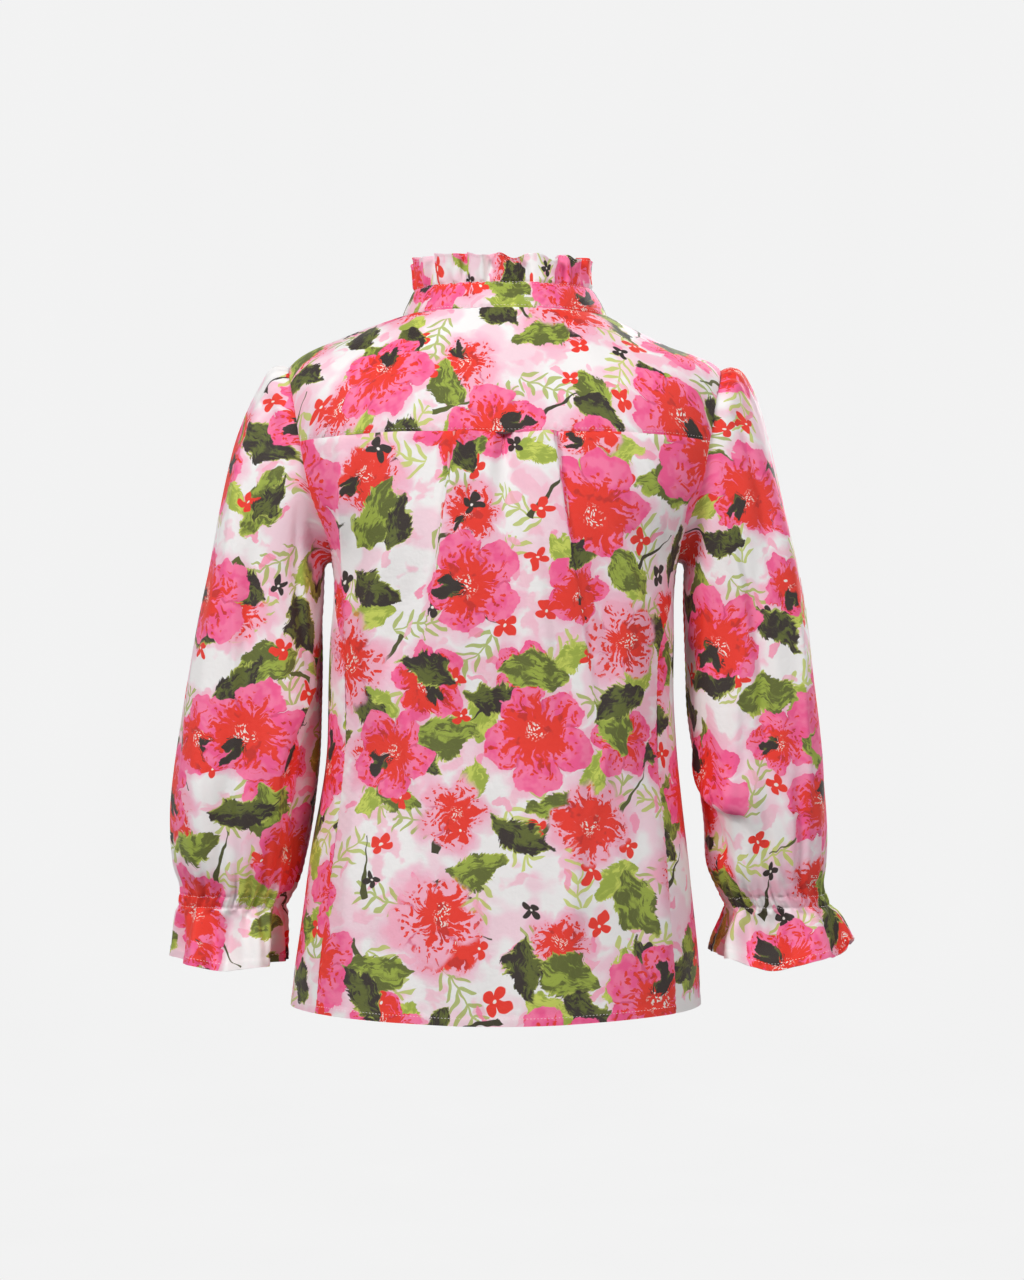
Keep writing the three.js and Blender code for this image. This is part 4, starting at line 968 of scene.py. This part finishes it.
def makeRuffle():
    r = rufflePiece
    endAngle = math.atan2(r["endGap"], ruffleTopRing["front"])
    u = np.linspace(0, 1, r["columns"] + 1)[None, :]
    v = np.linspace(0, 1, r["rows"] + 1)[:, None]  # 0 at the top edge, 1 at the foot
    angle = lerp(-math.pi / 2 + endAngle, 1.5 * math.pi - endAngle, u) + 0 * v
    foot = dict(standTopRing)
    for key in ("sideZ", "backZ", "frontZ"):
        foot[key] += r["lift"]
    rings = np.stack([ringPoints(ring, angle[0]) for ring in (ruffleTopRing, ruffleMidRing, foot)])
    places = np.array([0.0, 0.5, 1.0])
    points = np.stack([throughRows(places, rings, np.full(angle.shape[1], at)) for at in v[:, 0]])
    wave = np.interp(v, [0, 0.5, 0.85, 1], [1, 0.62, 0.28, 0.1])
    uneven = 0.75 + 0.25 * np.sin(3.1 * angle + 1) * np.cos(1.7 * angle)
    turn = 2 * math.pi * r["waves"] * u + 0.6 * np.sin(5 * angle) + 0.3 * np.sin(11 * angle)
    out = r["waveHeight"] * wave * uneven * (boxed(np.sin(turn + 0.6 * np.cos(turn)), 3.0) + 0.12 * np.sin(2 * turn + 1))
    small = np.sin(r["gathers"] * angle + 1.5 * np.sin(5 * angle) + 0.9 * np.sin(11 * angle))
    out = out + r["gatherHeight"] * small * np.exp(-((1 - v) / 0.38) ** 2) * smoothstep(1 - v, 0.0, 0.12)
    out = out + r["roll"] * np.exp(-((v * 24 - 0.8) / 0.9) ** 2)
    out = out - r["inset"] * smoothstep(v, 0.86, 0.98)
    outward = unit(points * np.array([1.0, 1.0, 0.0]))
    points = points + outward * out[..., None]
    points[..., 2] += r["topRise"] * wave * np.sin(2.3 * angle + 0.4)
    points[..., 2] += r["edgeRise"] * wave * np.cos(turn + 0.8) * (0.6 + 0.4 * np.sin(2.9 * angle + 2))
    piece = clothShell("ruffle_cloth", points, printPlace(angle * 128, 26 * v + 0 * u, 7), inside=1)
    dressCloth(piece, "collar_ruffle", points)
    addStitches("seams", *lineOnGrid(points, "top", 2.0), pitch=2.6, length=1.8)
    addStitches("seams", *lineOnGrid(points, "bottom", 1.6))


makeStand()
makeRuffle()
print("collar made")

# The sleeves

sectionColumns = ("outZ", "inZ", "leftOut", "leftIn", "rightOut", "rightIn", "depth", "y", "gather")
sleeveSections = [dict(zip(sectionColumns, row)) for row in (
    (-55, -217, 212, 158, 213, 157, 62, 1, 0),
    (-104, -230, 235, 159, 231, 157, 61, 1, 0),
    (-168, -249, 250, 160, 246, 157, 58, 1, 0),
    (-226, -273, 262, 161, 259, 158, 57, 0, 0),
    (-288, -306, 274, 161, 269, 159, 57, -1, 0),
    (-340, -345, 283, 162, 275, 161, 58, -3, 0),
    (-391, -392, 291, 164, 280, 168, 60, -6, 0),
    (-441, -441, 295, 171, 283, 176, 60, -10, 0.3),
    (-477, -477, 293, 178, 283, 179, 56, -13, 1.1),
    (-498, -498, 286, 186, 281, 187, 50, -15, 1.9),
    (-514, -514, 288, 194, 287, 194, 45, -16, 1.6),
    (-526, -526, 290, 195, 296, 193, 45, -17, 1.6),
    (-546, -546, 291, 195, 305, 186, 50, -18, 2.4),
)]
sleeveSquare = 2.15
sleevePiece = {
    "flat": (0.50, 0.56), "area": 0.205, "held": "gathered", "headGathers": 30, "headHeight": 1.1,
    "headReach": 42, "cuffGathers": 27, "casingPuckers": 46, "casingHeight": 0.9, "flounceHeight": 7.5, "wrinkle": 0.6, "puff": 5.0,
}
# Folds: turn round the sleeve in degrees, lean per section, height, width, first and last section.
# Creases: places down the ridge as turn and distance from the head, then height, width and skew.
leftSleeve = {
    "hem": {"out": 293, "in": 195, "z": -568, "depth": 57, "outLift": 9, "inLift": -4, "waves": 7, "waveHeight": 4},
    "folds": [(42, 1.8, 5, 13, 1, 11), (118, -1.2, 4.5, 13, 4, 11), (78, 1.2, -4.5, 11, 2, 10),
              (215, 0, 3, 20, 3, 11), (290, 0, 3, 20, 3, 11)],
    "creases": [
        ([(152, 120), (124, 198), (119, 226), (132, 296)], 9.0, 10, -0.6),
        ([(160, 150), (146, 230), (148, 290)], -8.0, 9, 0.0),
        ([(140, 300), (134, 360), (128, 425)], 5.0, 8, -0.5),
        ([(152, 310), (148, 370), (144, 430)], -6.0, 8, 0.0),
        ([(58, 110), (74, 210), (92, 330)], 3.4, 7, 0.3),
        ([(104, 180), (92, 270), (66, 370)], -3.0, 8, 0.2),
        ([(128, 40), (140, 90), (156, 150)], 2.6, 7, 0.3),
        ([(86, 280), (92, 320), (100, 372)], 2.4, 6, 0.3),
        ([(60, 330), (64, 370), (70, 420)], 2.4, 6, -0.3),
        ([(28, 240), (34, 320), (42, 430)], 2.0, 8, 0.2),
        ([(76, 330), (78, 370), (84, 405)], -1.8, 5, 0.0),
        ([(112, 240), (106, 290), (112, 350)], -1.8, 7, 0.0),
        ([(-60, 120), (-72, 220), (-80, 330)], 2.2, 10, 0.2),
        ([(-110, 160), (-104, 260), (-96, 350)], 2.0, 10, -0.2),
        ([(-140, 80), (-146, 160), (-150, 240)], 1.8, 9, 0.2),
        ([(-40, 280), (-44, 350), (-46, 430)], 2.0, 8, 0.2),
        ([(44, 30), (50, 110), (58, 200)], 3.2, 6, 0.35),
        ([(112, 14), (124, 60), (138, 115)], -2.6, 7, 0.0),
    ],
}
rightSleeve = {
    "hem": {"out": 307, "in": 184, "z": -566, "depth": 62, "outLift": 22, "inLift": -8, "waves": 6, "waveHeight": 4.5},
    "folds": [(38, 1.2, 5, 12, 2, 11), (132, -3, 5, 12, 5, 11), (86, 0.6, -4.5, 11, 3, 10),
              (225, 0, 3, 20, 3, 11), (300, 0, 3, 20, 3, 11)],
    "creases": [
        ([(164, 170), (139, 236), (113, 275), (107, 310)], 9.0, 10, -0.6),
        ([(170, 200), (152, 250), (132, 300)], -8.0, 8, 0.0),
        ([(146, 290), (138, 360), (128, 430)], 5.0, 8, -0.5),
        ([(158, 300), (152, 370), (144, 430)], -6.0, 8, 0.0),
        ([(40, 210), (52, 340), (56, 430)], 2.4, 4, 0.2),
        ([(102, 160), (112, 220), (126, 290)], 3.2, 7, 0.3),
        ([(72, 110), (80, 200), (84, 290)], -3.0, 8, 0.0),
        ([(126, 50), (138, 110), (154, 170)], 2.4, 7, 0.3),
        ([(94, 290), (88, 330), (82, 392)], 2.2, 6, -0.3),
        ([(72, 320), (70, 360), (68, 410)], 2.2, 5, 0.3),
        ([(26, 250), (30, 330), (34, 430)], 2.0, 8, 0.2),
        ([(62, 330), (60, 370), (60, 420)], -1.8, 5, 0.0),
        ([(-62, 130), (-72, 230), (-78, 340)], 2.2, 10, 0.2),
        ([(-108, 160), (-102, 260), (-98, 350)], 2.0, 10, -0.2),
        ([(-142, 80), (-146, 160), (-150, 240)], 1.8, 9, 0.2),
        ([(-38, 280), (-42, 350), (-46, 430)], 2.0, 8, 0.2),
        ([(97, 20), (93, 110), (91, 240)], 3.8, 5.5, 0.4),
        ([(60, 20), (58, 90), (62, 170)], -2.4, 7, 0.0),
    ],
}


def gatherWave(count, turn):
    return np.sin(count * turn + 1.3 * np.sin(3 * turn) + 0.8 * np.sin(5 * turn + 2))


def sectionPoints(section, turn):
    middle = np.array([(section["out"] + section["in"]) / 2, section["y"], (section["outZ"] + section["inZ"]) / 2])
    outEdge = np.array([section["out"], section["y"], section["outZ"]]) - middle
    across = np.cos(turn)
    along = np.sin(turn)
    reach = (np.abs(across) ** sleeveSquare + np.abs(along) ** sleeveSquare) ** (-1 / sleeveSquare)
    lift = section.get("outLift", 0) * np.maximum(0, across) ** 2 + section.get("inLift", 0) * np.minimum(0, across) ** 2
    lift = lift * np.sign(across)
    back = np.stack([0 * turn, section["depth"] * along * reach, lift], axis=-1)
    return middle + outEdge * (across * reach)[:, None] + back


def makeSleeve(name, node, side, own):
    s = sleevePiece
    turn = np.linspace(-math.pi, math.pi, 241)
    rows = fineSteps((8, 18), (6, 14))
    right = side == "right"
    sections = [dict(section, out=section[side + "Out"]) for section in sleeveSections]
    for section in sections:
        section["in"] = section[side + "In"]
    hem = dict(own["hem"], outZ=own["hem"]["z"], inZ=own["hem"]["z"], y=-20, gather=1)
    sections.append(hem)
    armAngle, armRun = armholeAt(turn / math.pi)
    if right:
        armAngle = math.pi - armAngle
    base = bodyPoints(armAngle, armRun)
    head = base + bodyNormals(armAngle, armRun) * (bodyFoldHeight(base, armRun) - seam["sink"] - 0.3)[..., None]
    if right:
        head = head * np.array([-1.0, 1.0, 1.0])
    controls = np.stack([head] + [sectionPoints(section, turn) for section in sections])
    places = np.arange(len(controls), dtype=float)
    points = np.stack([throughRows(places, controls, np.full(len(turn), row)) for row in rows])
    fromHead = edgeDistances(points)[0]
    degrees = np.broadcast_to(turn / deg, fromHead.shape)
    row = rows[:, None] + 0 * fromHead
    height = np.zeros_like(fromHead)
    for at, lean, rise, width, first, last in own["folds"]:
        away = np.mod(degrees - (at + lean * (row - first)) + 540, 360) - 180
        ends = smoothstep(row, first - 1, first + 1.5) * (1 - smoothstep(row, last - 2, last))
        height += rise * ends * np.exp(-(away / width) ** 2)
    height += creaseHeight(degrees, fromHead, own["creases"])
    gather = np.interp(row, places, [0] + [section["gather"] for section in sections])
    uneven = 0.7 + 0.3 * np.sin(4 * turn + 1) * np.sin(9 * turn)
    height += 1.35 * gather * gatherWave(s["cuffGathers"], turn) * uneven * (1 - smoothstep(row, 10.3, 11.6))
    casing = smoothstep(row, 10.1, 10.4) * (1 - smoothstep(row, 11.0, 11.5))
    height += s["casingHeight"] * gatherWave(s["casingPuckers"], turn) * casing
    height -= 0.9 * (np.exp(-((row - 10.4) / 0.09) ** 2) + np.exp(-((row - 11.05) / 0.11) ** 2))
    flounce = smoothstep(row, 11.1, 13.4)
    height += 1.5 * gather * gatherWave(19, turn) * smoothstep(row, 11.0, 11.7) * (1 - 0.75 * flounce)
    fall = boxed(np.sin(hem["waves"] * turn + 0.8 * np.sin(2 * turn)), 2.4) * (1 - 0.7 * np.cos(turn) ** 6)
    height += s["flounceHeight"] * flounce * (fall + 0.22 * np.sin(2.6 * hem["waves"] * turn + 1))
    crown = smoothstep(np.cos(turn), 0.1, 0.55) * np.exp(-(fromHead / s["headReach"]) ** 2) * smoothstep(fromHead, 0, 5)
    height += s["headHeight"] * crown * gatherWave(s["headGathers"], turn)
    height += s["puff"] * smoothstep(np.cos(turn), 0.1, 0.7) * np.exp(-((fromHead - 12) / 10) ** 2)
    height += s["wrinkle"] * softNoise(degrees, 0.5 * fromHead, 71 if right else 67, 52) * smoothstep(fromHead, 4, 40)
    points = points + gridNormals(points) * height[..., None]
    points = finishEdges(points, ("left", "right"), hem=True)
    cloth = printPlace(degrees * 1.02, -edgeDistances(points)[1], 9 if right else 8)
    if right:
        points = (points * np.array([-1.0, 1.0, 1.0]))[:, ::-1]
        cloth = cloth[:, ::-1]
    piece = clothShell(name, points, cloth)
    dressCloth(piece, node, points)
    addStitches("cuffs", *lineOnGrid(points, "bottom", hemTurn["depth"] - 0.6))
    normals = gridNormals(points)
    for at in (10.4, 11.05):
        k = int(np.argmin(np.abs(rows - at)))
        addStitches("cuffs", points[k], normals[k], pitch=2.4, length=1.7, lift=0.2)


makeSleeve("sleeve_left_cloth", "sleeve_left", "left", leftSleeve)
makeSleeve("sleeve_right_cloth", "sleeve_right", "right", rightSleeve)
print("sleeves made")

# Buttons on the placket and the stand, with their buttonholes

buttonPiece = {"radius": 5.5, "thickness": 2.4, "holes": 4, "holeRadius": 0.75, "holePlace": 1.6, "sides": 40,
               "firstRun": 28, "lastRun": 580, "count": 8, "slotLength": 13.5}


def buttonMesh():
    b = buttonPiece
    profile = [(0, 0), (b["radius"] - 0.7, 0), (b["radius"] - 0.15, 0.35), (b["radius"], 1.0), (b["radius"] - 0.1, 1.8),
               (b["radius"] - 0.6, b["thickness"]), (b["radius"] - 1.3, b["thickness"]), (b["radius"] - 2.0, 1.85),
               (b["radius"] - 2.6, 1.7), (0, 1.7)]
    sides = b["sides"]
    points = []
    for x, z in profile[1:-1]:
        points += [(x * math.cos(2 * math.pi * i / sides), x * math.sin(2 * math.pi * i / sides), z) for i in range(sides)]
    faces = [list(range(sides))[::-1]]
    rings = len(profile) - 2
    for k in range(rings - 1):
        for i in range(sides):
            a, c = k * sides + i, k * sides + (i + 1) % sides
            faces.append([a, c, c + sides, a + sides])
    faces.append([(rings - 1) * sides + i for i in range(sides)])
    body = makeMesh("button_body", points, faces, [0] * len(faces))
    drillPoints = []
    drillFaces = []
    for h in range(b["holes"]):
        spot = math.pi / 4 + h * math.pi / 2
        first = len(drillPoints)
        for z in (-1, b["thickness"] + 1):
            for i in range(12):
                a = 2 * math.pi * i / 12
                drillPoints.append((b["holePlace"] * math.cos(spot) + b["holeRadius"] * math.cos(a),
                                    b["holePlace"] * math.sin(spot) + b["holeRadius"] * math.sin(a), z))
        drillFaces.append([first + i for i in range(12)][::-1])
        drillFaces.append([first + 12 + i for i in range(12)])
        drillFaces += [[first + i, first + (i + 1) % 12, first + 12 + (i + 1) % 12, first + 12 + i] for i in range(12)]
    drill = makeMesh("button_drill", drillPoints, drillFaces, [0] * len(drillFaces))
    cut = body.modifiers.new("holes", "BOOLEAN")
    cut.object = drill
    cut.operation = "DIFFERENCE"
    bpy.context.view_layer.update()
    drilled = bpy.data.meshes.new_from_object(body.evaluated_get(bpy.context.evaluated_depsgraph_get()))
    bpy.data.objects.remove(drill)
    bpy.data.objects.remove(body)
    drilled.shade_smooth()
    drilled.set_sharp_from_angle(angle=math.radians(40))
    return drilled


def placeButton(name, node, mesh, point, normal):
    upright = Vector(normal).to_track_quat("Z", "Y").to_matrix().to_4x4()
    place = Matrix.Translation(Vector(point) * mm) @ upright
    made = mesh.copy()
    made.transform(place)
    piece = bpy.data.objects.new(name, made)
    bpy.context.scene.collection.objects.link(piece)
    dress(piece, [node], [pearl])
    centre = np.array(point) + np.array(normal) * 1.85
    side = unit(np.cross(normal, [0.0, 0.0, 1.0]))
    rise = np.cross(side, normal)
    for turn in (math.pi / 4, -math.pi / 4):
        along = side * math.cos(turn) + rise * math.sin(turn)
        stitchRows["front"].append((np.array([centre]), np.array([along]), np.array([normal]), 2 * buttonPiece["holePlace"]))


def makeButtons():
    b = buttonPiece
    mesh = buttonMesh()
    offset = placketPiece["offset"] + 0.3
    front = np.array([-math.pi / 2])
    for i in range(b["count"]):
        run = np.array([lerp(b["firstRun"], b["lastRun"], i / (b["count"] - 1))])
        normal = bodyNormals(front, run)[0]
        point = bodyPoints(front, run)[0] + normal * (offset + bodyFoldHeight(bodyPoints(front, run), run)[0])
        placeButton(f"front_button_{i + 1}", f"button_{i + 1}", mesh, point, normal)
        down = np.linspace(-b["slotLength"] / 2, b["slotLength"] / 2, 12)
        slotRun = run + down
        line = bodyPoints(front + 0 * slotRun, slotRun) + bodyNormals(front + 0 * slotRun, slotRun) * (offset - 0.25)
        normals = bodyNormals(front + 0 * slotRun, slotRun)
        for shift in (-0.9, 0.9):
            addStitches("front", line + np.array([shift, 0, 0]), normals, pitch=0.7, length=1.5, lift=0.1, across=True)
    seat = lap["offset"] + 0.3
    half = np.array([0.5])
    point = collarPoints(neckRing, standTopRing, front, half, np.array([seat]))[0]
    outer = collarPoints(neckRing, standTopRing, front, half, np.array([seat + 1]))[0]
    placeButton("collar_button", "button_collar", mesh, point + (outer - point) * 0.9, outer - point)
    bpy.data.meshes.remove(mesh)


makeButtons()
sewStitches("stitching_hem", "hem")
sewStitches("stitching_seams", "seams", thick=0.17)
sewStitches("stitching_front", "front", thick=0.2)
sewStitches("stitching_cuffs", "cuffs")
print("buttons and stitching made")

# The studio: a pale sweep, soft even lights and the camera at the photograph's angle

studio = {"cameraX": -0.00616, "cameraY": 2.5, "cameraZ": -0.2816, "lens": 79.9, "floorZ": -1.5, "wallRadius": 6.0,
          "bend": 1.5, "wallTop": 6.0, "leftPower": 66, "rightPower": 48, "frontPower": 70, "worldStrength": 0.17}


def makeSweep():
    # A round floor that bends up into a wall all round, so the ground is as pale from every side
    flat = studio["wallRadius"] - studio["bend"]
    profile = [(0.02, studio["floorZ"])]
    for i in range(13):
        a = i / 12 * math.pi / 2
        profile.append((flat + studio["bend"] * math.sin(a), studio["floorZ"] + studio["bend"] * (1 - math.cos(a))))
    profile.append((studio["wallRadius"], studio["wallTop"]))
    sides = 64
    turns = [2 * math.pi * k / sides for k in range(sides)]
    points = [(r * math.cos(t) * 1000, r * math.sin(t) * 1000, z * 1000) for r, z in profile for t in turns]
    faces = [[sides * i + k, sides * (i + 1) + k, sides * (i + 1) + (k + 1) % sides, sides * i + (k + 1) % sides]
             for i in range(len(profile) - 1) for k in range(sides)]
    faces.append(list(range(sides)))
    sweep = makeMesh("studio_sweep", points, faces, [0] * len(faces))
    material = bpy.data.materials.new("studio paper")
    material.use_nodes = True
    n = NodeMaker(material.node_tree)
    grain = n.noise(n.node("ShaderNodeTexCoord", {}).outputs["Object"], 0.4, 2.0, 0.5)
    glow = n.node("ShaderNodeEmission", {"Color": n.mix(grain, linear("f1f1f1"), linear("f3f3f3"))})
    n.feed(material.node_tree.nodes["Material Output"].inputs["Surface"], glow.outputs[0])
    sweep.data.materials.append(material)
    sweep.visible_diffuse = False


def addLight(name, place, size, power, aim):
    light = bpy.data.lights.new(name, "AREA")
    light.shape = "RECTANGLE"
    light.size, light.size_y = size
    light.energy = power
    lamp = bpy.data.objects.new(name, light)
    lamp.location = place
    lamp.rotation_euler = (Vector(aim) - Vector(place)).to_track_quat("-Z", "Y").to_euler()
    lamp.visible_camera = False
    bpy.context.scene.collection.objects.link(lamp)


def makeStudio():
    makeSweep()
    middle = (0, 0, -0.28)
    addLight("key left", (1.9, 2.1, 1.3), (0.8, 0.8), studio["leftPower"], middle)
    addLight("key right", (-1.9, 2.1, 1.5), (0.8, 0.8), studio["rightPower"], middle)
    addLight("front", (-1.6, -2.4, 1.2), (1.6, 1.6), studio["frontPower"], middle)
    world = bpy.data.worlds.new("studio")
    world.use_nodes = True
    world.node_tree.nodes["Background"].inputs[0].default_value = (1.0, 1.0, 1.0, 1.0)
    world.node_tree.nodes["Background"].inputs[1].default_value = studio["worldStrength"]
    bpy.context.scene.world = world
    bpy.context.scene.view_settings.view_transform = "Standard"
    data = bpy.data.cameras.new("camera")
    data.lens = studio["lens"]
    data.sensor_width = 36
    camera = bpy.data.objects.new("camera", data)
    camera.location = (studio["cameraX"], studio["cameraY"], studio["cameraZ"])
    camera.rotation_euler = (math.pi / 2, 0, math.pi)
    bpy.context.scene.collection.objects.link(camera)
    bpy.context.scene.camera = camera


makeStudio()
